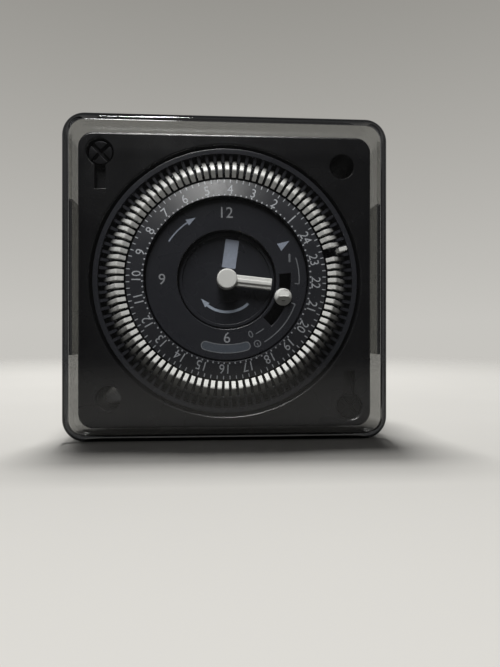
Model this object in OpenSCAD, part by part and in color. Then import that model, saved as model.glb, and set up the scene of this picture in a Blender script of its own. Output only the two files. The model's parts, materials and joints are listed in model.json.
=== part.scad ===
// Panel mount time switch with a 24 hour dial, quarter hour trippers and a clear snap-on cover.
// Lengths are in millimetres. Each piece is drawn with the dial facing +Z and the panel's front at Z 0,
// and is then stood upright, so that the dial looks along -Y and 12 o'clock is up.

/* [Cover] */
// Outer width and height of the clear cover
cover_w = 72; // [66:0.5:80]
// Corner radius of the cover, seen from the front
cover_corner = 5; // [4:0.5:8]
// Thickness of the cover's walls
cover_wall = 1.4; // [1:0.1:1.6]
// Height of the cover's front over the panel
cover_rise = 11.8; // [11.4:0.2:16]
// Gap between the cover's rear edge and the panel
cover_gap = 0.2; // [0.1:0.1:0.5]
// Clearance between the cover's wall and the frame inside it
cover_fit = 0.3; // [0.2:0.05:0.4]
// Length of the thick pad inside each side wall
cover_pad_l = 34; // [20:1:44]
// Thickness of that pad
cover_pad_t = 0.8; // [0.4:0.1:1]

/* [Front frame] */
// Corner radius of the black frame
frame_corner = 3.5; // [2:0.5:5]
// Height of the frame's front face over the panel
frame_face = 3.5; // [3:0.1:4]
// Thickness of the case's flange, which lies on the panel
flange_t = 1.2; // [1:0.1:1.6]
// Narrowest width of the frame's face beside the round well that the dial turns in
well_margin = 2.6; // [2.4:0.1:3]
// Depth of the inner floor of the well under the panel's front
recess_drop = 1.2; // [1:0.1:2]
// Width of the ledge between the well's wall and its inner floor
ledge_w = 1.7; // [1.2:0.1:2]
// Thickness of the well's floor
floor_t = 1.5; // [1.2:0.1:2.5]
// Clearance of the frame's rear block inside the case
frame_fit = 0.2; // [0.1:0.05:0.3]

/* [Case] */
// Overlap of the cover over the panel's square cut-out, each side
panel_lap = 3; // [2.8:0.1:3.4]
// Clearance of the case in the cut-out, each side
cutout_fit = 0.2; // [0.1:0.05:0.3]
// Corner radius of the case
case_corner = 3; // [2:0.5:4]
// Thickness of the case's walls
case_wall = 1.6; // [1.3:0.1:1.8]
// Clear space between the motor and the case's rear wall
case_spare = 0.4; // [0.2:0.1:3]
// Depth of the bay that holds the terminals, from the rear
bay_depth = 9.3; // [8:0.1:10]
// Distance from the case's side to the terminal bay
bay_side = 10.3; // [10:0.1:11]
// Height of the terminal bay, from the case's underside
bay_h = 14.8; // [12:0.2:16]
// Thickness of the walls round the terminal bay
bay_wall = 1.5; // [1:0.1:1.6]

/* [Fastening] */
// Distance of a clamp screw from the frame's side edge
clamp_inset_x = 5.1; // [4.6:0.1:5.6]
// Distance of a clamp screw from the frame's top or bottom edge
clamp_inset_y = 4.7; // [4.2:0.1:5.2]
// Radius of a clamp screw's shank
clamp_r = 1.5; // [1.2:0.1:1.6]
// Radius of a clamp screw's head
clamp_head_r = 2.7; // [2.4:0.1:2.8]
// Height of a clamp screw's head
clamp_head_h = 1.7; // [1.4:0.1:2]
// Radius of the recess round a clamp screw's head
clamp_recess_r = 3.1; // [2.9:0.1:3.3]
// Width of the slot that runs from that recess
clamp_slot_w = 2.5; // [1.5:0.1:3]
// Reach of that slot from the screw's axis
clamp_slot_l = 8.4; // [6:0.1:10]
// Depth of the corner pocket that a claw moves in
pocket_depth = 24; // [22:0.5:26]
// Reach of a claw from its screw's axis
claw_reach = 9; // [7:0.2:9.6]
// Width of a claw's arm
claw_w = 2.6; // [2:0.1:3]
// Height of a claw along its screw
claw_h = 4; // [3:0.2:5]
// Radius of a claw's hub
claw_hub_r = 2.3; // [2.1:0.1:2.5]
// Height of the tooth at a claw's end
claw_tooth = 1; // [0.5:0.1:1.5]
// Distance of a wall screw hole from the frame's two edges
wall_hole_inset = 7; // [6.6:0.1:7.2]
// Radius of a wall screw hole at the front
wall_hole_r = 2.9; // [2.6:0.1:3]
// Radius of a wall screw hole at the rear, where the screw's head stops
wall_screw_r = 2.1; // [1.7:0.1:2.2]
// Thickness of the shoulder that a wall screw's head bears on
wall_shoulder = 3; // [2:0.5:5]

/* [Dial] */
// Gap between the dial's rim and the well
well_gap = 0.8; // [0.5:0.1:1]
// Height of the dial's underside over the ledge
dial_lift = 0.6; // [0.4:0.1:0.9]
// Thickness of the dial's web
web_t = 0.8; // [0.6:0.1:0.9]
// Height of the dial's numbered face over the panel
dial_face = 7; // [6.8:0.1:7.4]
// Thickness of the numbered band
band_t = 1.1; // [0.8:0.1:1.4]
// Width of the numbered band
band_w = 4.1; // [3.6:0.1:4.4]
// Width of the dial's plain rim
rim_w = 1.2; // [0.8:0.1:1.5]
// Height of that rim over the panel
rim_top = 3.9; // [3.6:0.1:4.2]
// Height of the comb that guides the trippers
comb_top = 3.4; // [3.2:0.1:3.8]

/* [Trippers] */
// Distance of a tripper's pivot from the inner edge of the plain rim
pivot_inset = 2.4; // [2.2:0.1:2.6]
// Height of that pivot over the panel
pivot_z = 2.5; // [2.4:0.1:2.7]
// Length of a tripper from its pivot to its tip
trip_l = 6.2; // [5.6:0.1:6.4]
// Depth of a tripper, along the dial's radius when it stands upright
trip_d = 2.2; // [1.9:0.1:2.3]
// Thickness of a tripper, round the dial
trip_w = 1; // [0.8:0.05:1.05]
// Length of a tripper's tail under its pivot
tail_l = 3.2; // [2.8:0.1:3.3]
// Depth of that tail
tail_d = 1; // [0.8:0.1:1.1]
// Clearance beside a tripper in its slot
trip_fit = 0.1; // [0.08:0.01:0.12]
// Lean of a tripper towards the centre when it is off
trip_lean = 32; // [28:1:33]
// Radius of the wire ring that the trippers pivot on
wire_r = 0.28; // [0.2:0.02:0.3]

/* [Hands and centre] */
// Minutes past twelve that the hands and the dial show
show_minutes = 16; // [0:1:59]
// Clockwise angle of the time mark from 12 o'clock
mark_angle = 58; // [40:1:70]
// Gap between the numbered band and the fixed centre face
face_gap = 0.3; // [0.2:0.05:0.5]
// Height of the fixed centre face over the panel
face_top = 6.8; // [6.4:0.1:7]
// Thickness of the centre face
face_t = 1.4; // [1:0.1:1.6]
// Width of the centre face round the recess in its middle
face_rim_w = 7.1; // [6.9:0.1:7.6]
// Thickness of the wall round that recess
recess_wall = 0.7; // [0.6:0.1:0.8]
// Thickness of the recess's floor
recess_floor_t = 0.9; // [0.8:0.1:1]
// Gap between the hour disc and its recess
disc_gap = 0.3; // [0.2:0.05:0.5]
// Thickness of the hour disc
disc_t = 0.8; // [0.6:0.1:1]
// Height of the raised rim of the hour disc
disc_rim_h = 0.5; // [0.2:0.1:0.6]
// Width of the raised rim of the hour disc
disc_rim_w = 0.8; // [0.4:0.1:1.2]
// Radius of the minute hand's hub
hand_hub_r = 2.3; // [2:0.1:2.6]
// Height of the minute hand's hub over the panel
hand_top = 9.3; // [9:0.1:9.6]
// Distance from the minute hand's end to the wall of the recess
hand_clear = 1.8; // [1.6:0.1:4]
// Width of the minute hand's arm
hand_w = 2.6; // [2:0.1:3]
// Thickness of the minute hand's arm
hand_t = 1.5; // [1:0.1:1.8]
// Gap between the hour disc and the minute hand
hand_gap = 0.6; // [0.4:0.1:0.8]

/* [Override switch] */
// Distance from the recess's wall to the curved slot of the override knob
slot_edge = 0.1; // [0.1:0.1:0.5]
// Clockwise angle of the knob in its middle position
knob_angle = 107; // [105:0.5:109]
// Radius of the knob
knob_r = 2; // [1.7:0.1:2.2]
// Height of the knob over the centre face
knob_h = 1.9; // [1.5:0.1:2.2]
// Radius of the knob's stem
stem_r = 1; // [0.8:0.05:1.1]
// Width of the curved slot that the stem moves in
slot_w = 2.6; // [2.4:0.1:2.8]
// Clockwise angle at which the curved slot starts
slot_from = 84; // [82:1:86]
// Clockwise angle at which the curved slot ends
slot_to = 136; // [132:1:140]
// Width of the override lever's arms
lever_w = 3; // [2:0.2:4]
// Thickness of the override lever's front arm
lever_t = 0.7; // [0.5:0.1:0.8]
// Reach of the override's rear cam
cam_reach = 14; // [12:0.2:14.4]

/* [Movement] */
// Radius of the minute arbor
arbor_r = 1; // [0.8:0.05:1.1]
// Wall of the hour wheel's sleeve
sleeve_wall = 1; // [0.8:0.05:1.1]
// Wall of the fixed centre post
post_wall = 1; // [0.8:0.05:1.1]
// Wall of the override lever's sleeve
lever_wall = 0.9; // [0.8:0.05:1]
// Wall of the dial's hub
hub_wall = 2; // [1.6:0.1:2.2]
// Radial clearance of a running fit
run_fit = 0.08; // [0.06:0.01:0.1]
// Radial clearance of a piece pressed on another
seat_fit = 0.02; // [0.01:0.01:0.03]
// Distance from the centre to the idler's arbor
idler_distance = 12.5; // [12.5:0.1:13]
// Distance from the centre to the motor's pinion
motor_distance = 13; // [12.8:0.1:13.2]
// Thickness of a wheel
wheel_t = 1.5; // [1.2:0.1:1.6]
// Free space between wheels and plates along the arbors
stack_gap = 0.6; // [0.5:0.05:0.8]
// Thickness of the movement's two plates
plate_t = 1.4; // [1:0.1:1.8]
// Radius of the idler's arbor
idler_r = 0.8; // [0.6:0.05:0.9]
// Flank clearance of the teeth at the pitch circle
backlash = 0.12; // [0.1:0.01:0.16]
// Radius of a pillar between the plates
pillar_r = 2; // [1.6:0.1:2.2]
// Radius of a movement screw
plate_screw_r = 1; // [0.8:0.05:1.1]

/* [Motor] */
// Distance from the motor's can to the case's side
motor_side = 19.8; // [19.4:0.1:21]
// Length of the motor's can
motor_l = 9; // [8.5:0.1:11]
// Thickness of the can's sheet
can_t = 0.6; // [0.5:0.05:0.8]
// Radius of the rotor
rotor_r = 5.6; // [5:0.1:5.8]
// Radius of the motor's output shaft
shaft_r = 1; // [0.8:0.05:1.1]

/* [Switch] */
// Width of the switch's body
switch_w = 6.5; // [5.5:0.1:6.6]
// Length of the switch's body
switch_l = 12.8; // [12:0.1:13]
// Distance from the switch's button side to the feeler's nose
switch_gap = 3.5; // [3.4:0.1:3.8]
// Travel of the switch's button with room to spare
button_out = 1.4; // [1.3:0.05:1.45]
// Distance of the feeler's nose inside the circle of the trippers' pivots
nose_inset = 1.9; // [1.8:0.1:2.1]
// Radius of the feeler's nose
nose_r = 0.9; // [0.7:0.05:1]
// Width of the feeler lever
feeler_w = 2.6; // [2.2:0.1:2.7]
// Thickness of the feeler lever
feeler_t = 1.2; // [1:0.1:1.5]
// Width of a terminal blade
blade_w = 6.3; // [4.8, 6.3]
// Thickness of a terminal blade
blade_t = 0.8; // [0.5, 0.8]
// Distance from the outermost terminal blade to the bay's side
blade_margin = 1.35; // [1:0.05:3]
// Number of terminal blades
blades_n = 5; // [3:1:5]

/* [Hidden] */
$fn = 96;

// A cut reaches this far past a face
over = 0.01;
// How far a cut runs past the outer faces of the case
past = 1;

// Outlines
frame_w = cover_w - 2 * (cover_wall + cover_fit);
cutout_w = cover_w - 2 * panel_lap;
case_w = cutout_w - 2 * cutout_fit;
bay_w = case_w - 2 * bay_side;
blade_pitch = (bay_w - blade_w - 2 * blade_margin) / (blades_n - 1);
motor_r = case_w / 2 - motor_side;
well_r = frame_w / 2 - well_margin;
clamp_x = frame_w / 2 - clamp_inset_x;
clamp_y = frame_w / 2 - clamp_inset_y;
clamp_fit = 0.2;
tip_in_case = 1.8;
pocket_gap = 0.4;
pocket_wall = 1.4;
pocket_x = clamp_x - claw_hub_r - pocket_gap;
pocket_y = clamp_y - claw_reach - pocket_gap;
wall_hole = frame_w / 2 - wall_hole_inset;
tube_wall = 1.4;
inner_corner = 1.2;

// Heights, from the well backwards
floor_back = -recess_drop - floor_t;
gear_front_gap = 1.3;
dial_gear_z = floor_back - gear_front_gap;
dial_gear_back = dial_gear_z - wheel_t;
end_gap = 0.2;
hub_back = dial_gear_back - end_gap;
cam_z = hub_back - stack_gap;
cam_t = 1.2;
cam_back = cam_z - cam_t;
plate_z = cam_back - stack_gap;
plate_back = plate_z - plate_t;
hour_wheel_z = plate_back - stack_gap;
hour_wheel_back = hour_wheel_z - wheel_t;
cannon_z = hour_wheel_back - stack_gap;
cannon_back = cannon_z - wheel_t;
minute_wheel_z = cannon_back - stack_gap;
minute_wheel_back = minute_wheel_z - wheel_t;
wheel_room = 1.6;
rear_plate_z = minute_wheel_back - wheel_room;
rear_plate_back = rear_plate_z - plate_t;
motor_back = rear_plate_back - motor_l;
case_depth = case_spare + case_wall - motor_back;
bay_z = -case_depth + bay_depth;

// Radii at the centre
sleeve_in = arbor_r + run_fit;
sleeve_out = sleeve_in + sleeve_wall;
post_in = sleeve_out + run_fit;
post_out = post_in + post_wall;
lever_in = post_out + run_fit;
lever_out = lever_in + lever_wall;
hub_in = lever_out + run_fit;
hub_out = hub_in + hub_wall;

// Radii of the dial, from the rim inwards
recess_r = well_r - ledge_w;
rim_r = well_r - well_gap;
slot_out = rim_r - rim_w;
pivot_r = slot_out - pivot_inset;
comb_reach = 2.1;
comb_in = pivot_r - comb_reach;
trip_slot_in = comb_in - end_gap;
tip_in = pivot_r - trip_l * sin(trip_lean) - trip_d / 2 * cos(trip_lean);
band_gap = 0.28;
band_out = tip_in - band_gap;
band_in = band_out - band_w;
band_wall = 1;
face_r = band_in - face_gap;
recess_in_r = face_r - face_rim_w;
hand_l = recess_in_r - hand_clear;
knob_orbit = recess_in_r + recess_wall + slot_edge + slot_w / 2;
web_z = dial_lift;
web_top = web_z + web_t;
groove_fit = 0.02;
trippers_n = 96;
trip_pitch = 360 / trippers_n;

// Angles that show the time, clockwise from 12
minute_angle = show_minutes * 6;
hour_angle = show_minutes / 2;
dial_zero = mark_angle + show_minutes / 4;
hour_trippers = trippers_n / 24;
function tripper_angle(k) = dial_zero - (k + 0.5) * trip_pitch;
first_single = trippers_n - hour_trippers;

// Heights in front of the dial's web
lever_gap = 0.3;
lever_z = web_top + lever_gap;
recess_floor_z = lever_z + lever_t + lever_gap;
recess_floor_top = recess_floor_z + recess_floor_t;
disc_z = recess_floor_top + disc_gap;
disc_top = disc_z + disc_t;
hand_z = disc_top + disc_rim_h + hand_gap;
ridge_h = 0.4;
ridge_w = 0.9;
hand_cap = 0.9;
arbor_front = hand_top - hand_cap;
knob_gap = 0.25;
knob_z = face_top + knob_gap;
arm_lift = 0.2;

// Tooth counts
cannon_n = 10;
idler_wheel_n = 40;
hour_pinion_n = 15;
hour_wheel_n = 45;
dial_pinion_n = 10;
dial_gear_n = 60;
motor_pinion_n = 12;
minute_wheel_n = 48;
wheel_addendum = 0.6;
pinion_addendum = 0.8;
dedendum = 1.2;
pressure_angle = 20;
idler_dir = 180;
motor_dir = 90;

// Places of the switch gear, seen from the front
nose_x = pivot_r - nose_inset;
switch_x = nose_x - switch_gap;
feeler_pivot_in = 1.4;
feeler_pivot_y = -16;
feeler_pivot = [nose_x - feeler_pivot_in, feeler_pivot_y];
feeler_shift = 0.7;
feeler_hub = 1.4;
nose_top = -0.2;
feeler_end_y = 8;
feeler_gap = 0.7;
feeler_z = floor_back - feeler_gap;
feeler_back = feeler_z - feeler_t;
feeler_pin_r = 1;
switch_y = 1;
switch_front = floor_back - stack_gap;
switch_seat = plate_z;
button_r = 0.9;
button_in = 1.6;
button_up = 6;
button_y = switch_y + button_up;
button_z = (feeler_z + feeler_back) / 2;
switch_screw_r = 0.7;
switch_screw_in = 3.6;
switch_screw_end = 2.2;
switch_screw_places = [
    [switch_x - switch_screw_in, switch_y + switch_screw_end],
    [switch_x - switch_screw_in, switch_y + switch_l - switch_screw_end]
];
pillar_side = 10.8;
pillar_top = 12.8;
pillar_low = -12;
switch_pillar_in = 3;
switch_pillar_down = 1;
pillar_x = case_w / 2 - pillar_side;
pillar_y = case_w / 2 - pillar_top;
pillar_places = [
    [-pillar_x, pillar_y],
    [pillar_x, pillar_y],
    [-pillar_x, pillar_low],
    [pillar_x - switch_pillar_in, pillar_low - switch_pillar_down]
];
screw_in = 3.6;
head_over = 0.9;
plate_gap = 0.4;
rear_plate_side = 6.8;
rear_plate_top = 4.8;
rear_plate_x = case_w / 2 - rear_plate_side;
rear_plate_low = -16;
rear_plate_high = case_w / 2 - rear_plate_top;
ear_out = 3;
ear_x = motor_r + ear_out;
ear_t = 0.8;
ear_back = rear_plate_back - ear_t;
ear_w = 6;
ear_end = 2;
shaft_in = 2.2;
blade_up = 7.8;
blade_in = 1.2;
blade_tail = 2.4;
blade_y = -case_w / 2 + blade_up;
blade_tip = -case_depth + blade_in;
blade_root = bay_z + bay_wall + blade_tail;

// Shared outlines and shapes

// A square with round corners
module rounded_square(w, r) {
    square([w - 2 * r, w], center = true);
    square([w, w - 2 * r], center = true);
    for (x = [-1, 1], y = [-1, 1])
        translate([x * (w / 2 - r), y * (w / 2 - r)])
            circle(r);
}

// An outline raised from one height to another
module slab(z0, z1) {
    translate([0, 0, z0])
        linear_extrude(z1 - z0)
            children();
}

// A round block from one height to another
module disc(r, z0, z1) {
    translate([0, 0, z0])
        cylinder(h = z1 - z0, r = r);
}

// A round tube from one height to another
module tube(r_out, r_in, z0, z1) {
    difference() {
        disc(r_out, z0, z1);
        disc(r_in, z0 - over, z1 + over);
    }
}

// The section of a ring, for turning about the dial's axis
module ring_section(r0, r1, z0, z1) {
    translate([r0, z0])
        square([r1 - r0, z1 - z0]);
}

// Turns what is drawn towards +X to a clockwise angle from 12 o'clock
module at_clock(angle) {
    rotate([0, 0, 90 - angle])
        children();
}

// Draws a thing at the top left and again half a turn away
module both_corners() {
    for (turn = [0, 180])
        rotate([0, 0, turn])
            children();
}

// Stands the timer up with its dial towards -Y
module upright() {
    rotate([90, 0, 0])
        children();
}

// The involute angle at radius r, nothing inside the base circle
function involute(r, base) = r <= base ? 0 : tan(acos(base / r)) * 180 / PI - acos(base / r);

// Outline of a gear with straight-sided steps along each involute flank
function gear_points(teeth, module_size, addendum) =
    let (
        pitch_r = teeth * module_size / 2,
        base = pitch_r * cos(pressure_angle),
        root = pitch_r - dedendum * module_size,
        tip = pitch_r + addendum * module_size,
        half = (PI * module_size / 2 - backlash) / (2 * pitch_r) * 180 / PI + involute(pitch_r, base),
        radii = [root, max(base, root + over), pitch_r, tip]
    )
    [
        for (tooth = [0 : teeth - 1], side = [-1, 1], step = [0 : 3])
            let (
                r = radii[side < 0 ? step : 3 - step],
                angle = 360 * tooth / teeth + side * (half - involute(r, base))
            )
            r * [cos(angle), sin(angle)]
    ];

module gear(teeth, module_size, addendum, bore, z0, z1) {
    slab(z1, z0)
        difference() {
            polygon(gear_points(teeth, module_size, addendum));
            circle(bore);
        }
}

// Module of a pair of gears that fills a centre distance
function pair_module(distance, one, other) = 2 * distance / (one + other);
hour_train = pair_module(idler_distance, cannon_n, idler_wheel_n);
hour_pair = pair_module(idler_distance, hour_pinion_n, hour_wheel_n);
dial_pair = pair_module(idler_distance, dial_pinion_n, dial_gear_n);
motor_pair = pair_module(motor_distance, motor_pinion_n, minute_wheel_n);

module at_idler() {
    rotate([0, 0, idler_dir])
        translate([idler_distance, 0, 0])
            children();
}

module at_motor() {
    rotate([0, 0, motor_dir])
        translate([motor_distance, 0, 0])
            children();
}

// Case and frame

// The corner pocket of a claw, grown inwards by a wall
module pocket_outline(grow) {
    translate([-case_w / 2 - past, pocket_y - grow])
        square([case_w / 2 - pocket_x + past + grow, case_w / 2 - pocket_y + past + grow]);
}

// The space inside the case, drawn in by a gap
module cavity_outline(gap) {
    difference() {
        rounded_square(case_w - 2 * (case_wall + gap), inner_corner);
        both_corners() pocket_outline(pocket_wall + gap);
        both_corners()
            translate([wall_hole, wall_hole])
                circle(wall_hole_r + tube_wall + gap);
    }
}

module bay_block(grow) {
    translate([-bay_w / 2 - grow, -case_w / 2 - past, -case_depth - past])
        cube([bay_w + 2 * grow, bay_h + past + grow, bay_depth + past + grow]);
}

module blades(grow) {
    for (i = [0 : blades_n - 1])
        translate([(i - (blades_n - 1) / 2) * blade_pitch, blade_y, blade_tip])
            translate([-blade_w / 2 - grow, -blade_t / 2 - grow, 0])
                cube([blade_w + 2 * grow, blade_t + 2 * grow, blade_root - blade_tip]);
}

module case() {
    color("#19191b")
        difference() {
            union() {
                slab(-case_depth, 0) rounded_square(case_w, case_corner);
                slab(0, flange_t) rounded_square(frame_w, frame_corner);
            }
            difference() {
                slab(-case_depth + case_wall, flange_t + over) cavity_outline(0);
                bay_block(bay_wall);
            }
            disc(well_r, 0, flange_t + over);
            bay_block(0);
            blades(seat_fit);
            both_corners() slab(-pocket_depth, 0) pocket_outline(0);
            both_corners()
                translate([-clamp_x, clamp_y, 0])
                    disc(clamp_r + clamp_fit, -pocket_depth - tip_in_case - end_gap, flange_t + over);
            both_corners()
                translate([wall_hole, wall_hole, 0]) {
                    disc(wall_hole_r, -case_depth + wall_shoulder, flange_t + over);
                    disc(wall_screw_r, -case_depth - over, 0);
                }
        }
}

module front_frame() {
    window_w = 3.6;
    window_in = 2.2;
    color("#1c1c1f")
        difference() {
            union() {
                slab(flange_t, frame_face) rounded_square(frame_w, frame_corner);
                slab(floor_back, flange_t) cavity_outline(frame_fit);
            }
            disc(well_r, 0, frame_face + over);
            disc(recess_r, -recess_drop, over);
            disc(hub_out + run_fit, floor_back - over, 0);
            at_idler() disc(idler_r + run_fit, floor_back - over, 0);
            translate([nose_x - window_in, -window_w / 2, floor_back - over])
                cube([window_w, window_w, floor_t + 2 * over]);
            both_corners()
                translate([-clamp_x, clamp_y, 0]) {
                    disc(clamp_recess_r, flange_t - over, frame_face + over);
                    translate([-clamp_slot_w / 2, -clamp_slot_l, flange_t - over])
                        cube([clamp_slot_w, clamp_slot_l, frame_face]);
                }
            both_corners()
                translate([wall_hole, wall_hole, 0])
                    disc(wall_hole_r, floor_back - over, frame_face + over);
        }
}

module cover() {
    pad_gap = 0.7;
    inner_w = cover_w - 2 * cover_wall;
    inner_r = cover_corner - cover_wall;
    pad_low = frame_face + pad_gap;
    pad_top = cover_rise - cover_wall;
    color("#8a8d90", 0.35) {
        difference() {
            slab(cover_gap, cover_rise) rounded_square(cover_w, cover_corner);
            slab(cover_gap - over, cover_rise - cover_wall) rounded_square(inner_w, inner_r);
        }
        for (turn = [0, 180])
            rotate([0, 0, turn])
                translate([inner_w / 2 - cover_pad_t, -cover_pad_l / 2, pad_low])
                    cube([cover_pad_t + cover_wall / 2, cover_pad_l, pad_top - pad_low]);
    }
}

// Dial and trippers

module dial() {
    color("#1a1a1c")
        difference() {
            rotate_extrude()
                difference() {
                    union() {
                        ring_section(hub_in, hub_out, hub_back, web_top);
                        ring_section(hub_in, rim_r, web_z, web_top);
                        ring_section(band_out - band_wall, band_out, web_z, dial_face);
                        ring_section(band_in, band_out, dial_face - band_t, dial_face);
                        ring_section(comb_in, slot_out, web_z, comb_top);
                        ring_section(slot_out, rim_r, web_z, rim_top);
                    }
                    translate([pivot_r, pivot_z])
                        translate([-wire_r - groove_fit, -wire_r - groove_fit])
                            square([2 * (wire_r + groove_fit), comb_top]);
                }
            for (k = [0 : trippers_n - 1])
                at_clock(tripper_angle(k))
                    translate([trip_slot_in, -trip_w / 2 - trip_fit, web_z - over])
                        cube([slot_out - trip_slot_in, trip_w + 2 * trip_fit, rim_top]);
        }
}

module pivot_wire() {
    color("#b8babd")
        rotate_extrude()
            translate([pivot_r, pivot_z])
                circle(wire_r, $fn = 24);
}

module tripper_outline() {
    difference() {
        union() {
            translate([-trip_d / 2, 0]) square([trip_d, trip_l]);
            circle(trip_d / 2);
            translate([-tail_d / 2, -tail_l]) square([tail_d, tail_l]);
        }
        circle(wire_r + run_fit);
    }
}

module tripper(k, lean) {
    color("#e9e6dd")
        at_clock(tripper_angle(k))
            translate([pivot_r, 0, pivot_z])
                rotate([90, -lean, 0])
                    linear_extrude(trip_w, center = true)
                        tripper_outline();
}

module trippers() {
    for (k = [0 : first_single - 1])
        tripper(k, trip_lean);
}

// Fixed centre and hands

module centre_face() {
    color("#1d1d20")
        difference() {
            rotate_extrude()
                union() {
                    ring_section(recess_in_r, face_r, face_top - face_t, face_top);
                    ring_section(recess_in_r, recess_in_r + recess_wall, recess_floor_z, face_top);
                    ring_section(post_out + seat_fit, recess_in_r + recess_wall,
                        recess_floor_z, recess_floor_top);
                }
            at_clock(slot_to)
                rotate_extrude(angle = slot_to - slot_from)
                    ring_section(knob_orbit - slot_w / 2, knob_orbit + slot_w / 2,
                        face_top - face_t - over, face_top + over);
        }
}

module centre_post() {
    color("#c9a75a")
        tube(post_out, post_in, plate_back, recess_floor_top);
}

module hour_disc() {
    disc_r = recess_in_r - disc_gap;
    color("#202023")
        rotate([0, 0, -hour_angle])
            rotate_extrude()
                union() {
                    ring_section(sleeve_out + seat_fit, disc_r, disc_z, disc_top);
                    ring_section(disc_r - disc_rim_w, disc_r, disc_z, disc_top + disc_rim_h);
                }
}

module hour_wheel() {
    color("#c9a75a") {
        tube(sleeve_out, sleeve_in, hour_wheel_back, disc_top);
        rotate([0, 0, idler_dir])
            gear(hour_wheel_n, hour_pair, wheel_addendum, sleeve_in, hour_wheel_z, hour_wheel_back);
    }
}

module minute_arbor() {
    color("#b8babd")
        disc(arbor_r, rear_plate_back + end_gap, arbor_front);
}

module minute_hand() {
    color("#efede4")
        difference() {
            rotate([0, 0, 90 - minute_angle])
                union() {
                    disc(hand_hub_r, hand_z, hand_top);
                    translate([0, -hand_w / 2, hand_z + arm_lift])
                        cube([hand_l, hand_w, hand_t]);
                    translate([0, -ridge_w / 2, hand_z + arm_lift])
                        cube([hand_l, ridge_w, hand_t + ridge_h]);
                }
            disc(arbor_r + seat_fit, hand_z - over, arbor_front + seat_fit);
        }
}

module cannon_pinion() {
    color("#c9a75a")
        rotate([0, 0, idler_dir])
            gear(cannon_n, hour_train, pinion_addendum, arbor_r + seat_fit, cannon_z, cannon_back);
}

module minute_wheel() {
    color("#c9a75a")
        rotate([0, 0, motor_dir])
            gear(minute_wheel_n, motor_pair, wheel_addendum, arbor_r + seat_fit,
                minute_wheel_z, minute_wheel_back);
}

module clutch_washer() {
    washer_w = 2;
    color("#b8babd")
        tube(arbor_r + washer_w, arbor_r + seat_fit, minute_wheel_z, cannon_back);
}

module idler_arbor() {
    color("#b8babd")
        at_idler() disc(idler_r, rear_plate_back + end_gap, -recess_drop - end_gap);
}

module idler_wheel() {
    idler_bore = idler_r + seat_fit;
    color("#ded9c8")
        at_idler() {
            rotate([0, 0, 180 + 180 / idler_wheel_n])
                gear(idler_wheel_n, hour_train, wheel_addendum, idler_bore, cannon_z, cannon_back);
            rotate([0, 0, 180 + 180 / hour_pinion_n])
                gear(
                    hour_pinion_n, hour_pair, pinion_addendum, idler_bore,
                    hour_wheel_z + end_gap, cannon_z
                );
        }
}

module dial_pinion() {
    color("#ded9c8")
        at_idler()
            rotate([0, 0, 180 + 180 / dial_pinion_n])
                gear(dial_pinion_n, dial_pair, pinion_addendum, idler_r + seat_fit,
                    dial_gear_z + end_gap, dial_gear_back - end_gap);
}

module dial_gear() {
    color("#ded9c8")
        rotate([0, 0, idler_dir])
            gear(dial_gear_n, dial_pair, wheel_addendum, hub_out + seat_fit, dial_gear_z, dial_gear_back);
}

// Override switch

module override_lever() {
    root_r = lever_in + lever_wall / 2;
    pad_over = 0.3;
    color("#2a2a2d") {
        tube(lever_out, lever_in, cam_back, lever_z + lever_t + lever_gap / 2);
        at_clock(knob_angle) {
            translate([root_r, -lever_w / 2, lever_z])
                cube([knob_orbit - root_r, lever_w, lever_t]);
            translate([knob_orbit, 0, 0]) {
                disc(stem_r, lever_z + lever_t / 2, knob_z + knob_h / 2);
                disc(lever_w / 2 + pad_over, lever_z, lever_z + lever_t);
            }
        }
    }
}

module override_knob() {
    dome_r = (knob_r * knob_r + knob_h * knob_h) / (2 * knob_h);
    color("#efede4")
        at_clock(knob_angle)
            translate([knob_orbit, 0, knob_z])
                difference() {
                    intersection() {
                        translate([0, 0, knob_h - dome_r]) sphere(dome_r);
                        disc(knob_r + 1, 0, knob_h + 1);
                    }
                    disc(stem_r + seat_fit, -over, knob_h / 2 + seat_fit);
                }
}

module override_cam() {
    cam_boss = 1.6;
    color("#2a2a2d")
        difference() {
            at_clock(knob_angle)
                union() {
                    disc(lever_out + cam_boss, cam_back, cam_z);
                    translate([0, -lever_w / 2, cam_back])
                        cube([cam_reach - lever_w / 2, lever_w, cam_t]);
                    translate([cam_reach - lever_w / 2, 0, 0])
                        disc(lever_w / 2, cam_back, cam_z);
                }
            disc(lever_out + seat_fit, cam_back - over, cam_z + over);
        }
}

// Movement

module movement_plate() {
    color("#c9a75a")
        difference() {
            slab(plate_back, plate_z) cavity_outline(plate_gap);
            disc(post_out + seat_fit, plate_back - over, plate_z + over);
            at_idler() disc(idler_r + run_fit, plate_back - over, plate_z + over);
        }
}

module rear_plate() {
    color("#c9a75a")
        difference() {
            slab(rear_plate_back, rear_plate_z)
                intersection() {
                    cavity_outline(plate_gap);
                    translate([-rear_plate_x, rear_plate_low])
                        square([2 * rear_plate_x, rear_plate_high - rear_plate_low]);
                }
            disc(arbor_r + run_fit, rear_plate_back - over, rear_plate_z + over);
            at_idler() disc(idler_r + run_fit, rear_plate_back - over, rear_plate_z + over);
            at_motor() disc(shaft_r + run_fit, rear_plate_back - over, rear_plate_z + over);
            for (p = pillar_places)
                translate(p) disc(plate_screw_r + run_fit, rear_plate_back - over, rear_plate_z + over);
            at_motor()
                for (y = [-ear_x, ear_x])
                    translate([0, y, 0])
                        disc(plate_screw_r + seat_fit, rear_plate_back - over, rear_plate_z + over);
        }
}

module pillars() {
    color("#b8babd")
        for (p = pillar_places)
            translate(p) {
                disc(pillar_r, plate_z, floor_back);
                difference() {
                    disc(pillar_r, rear_plate_z, plate_back);
                    disc(plate_screw_r + seat_fit, rear_plate_z - over, rear_plate_z + screw_in + end_gap);
                }
            }
}

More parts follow.
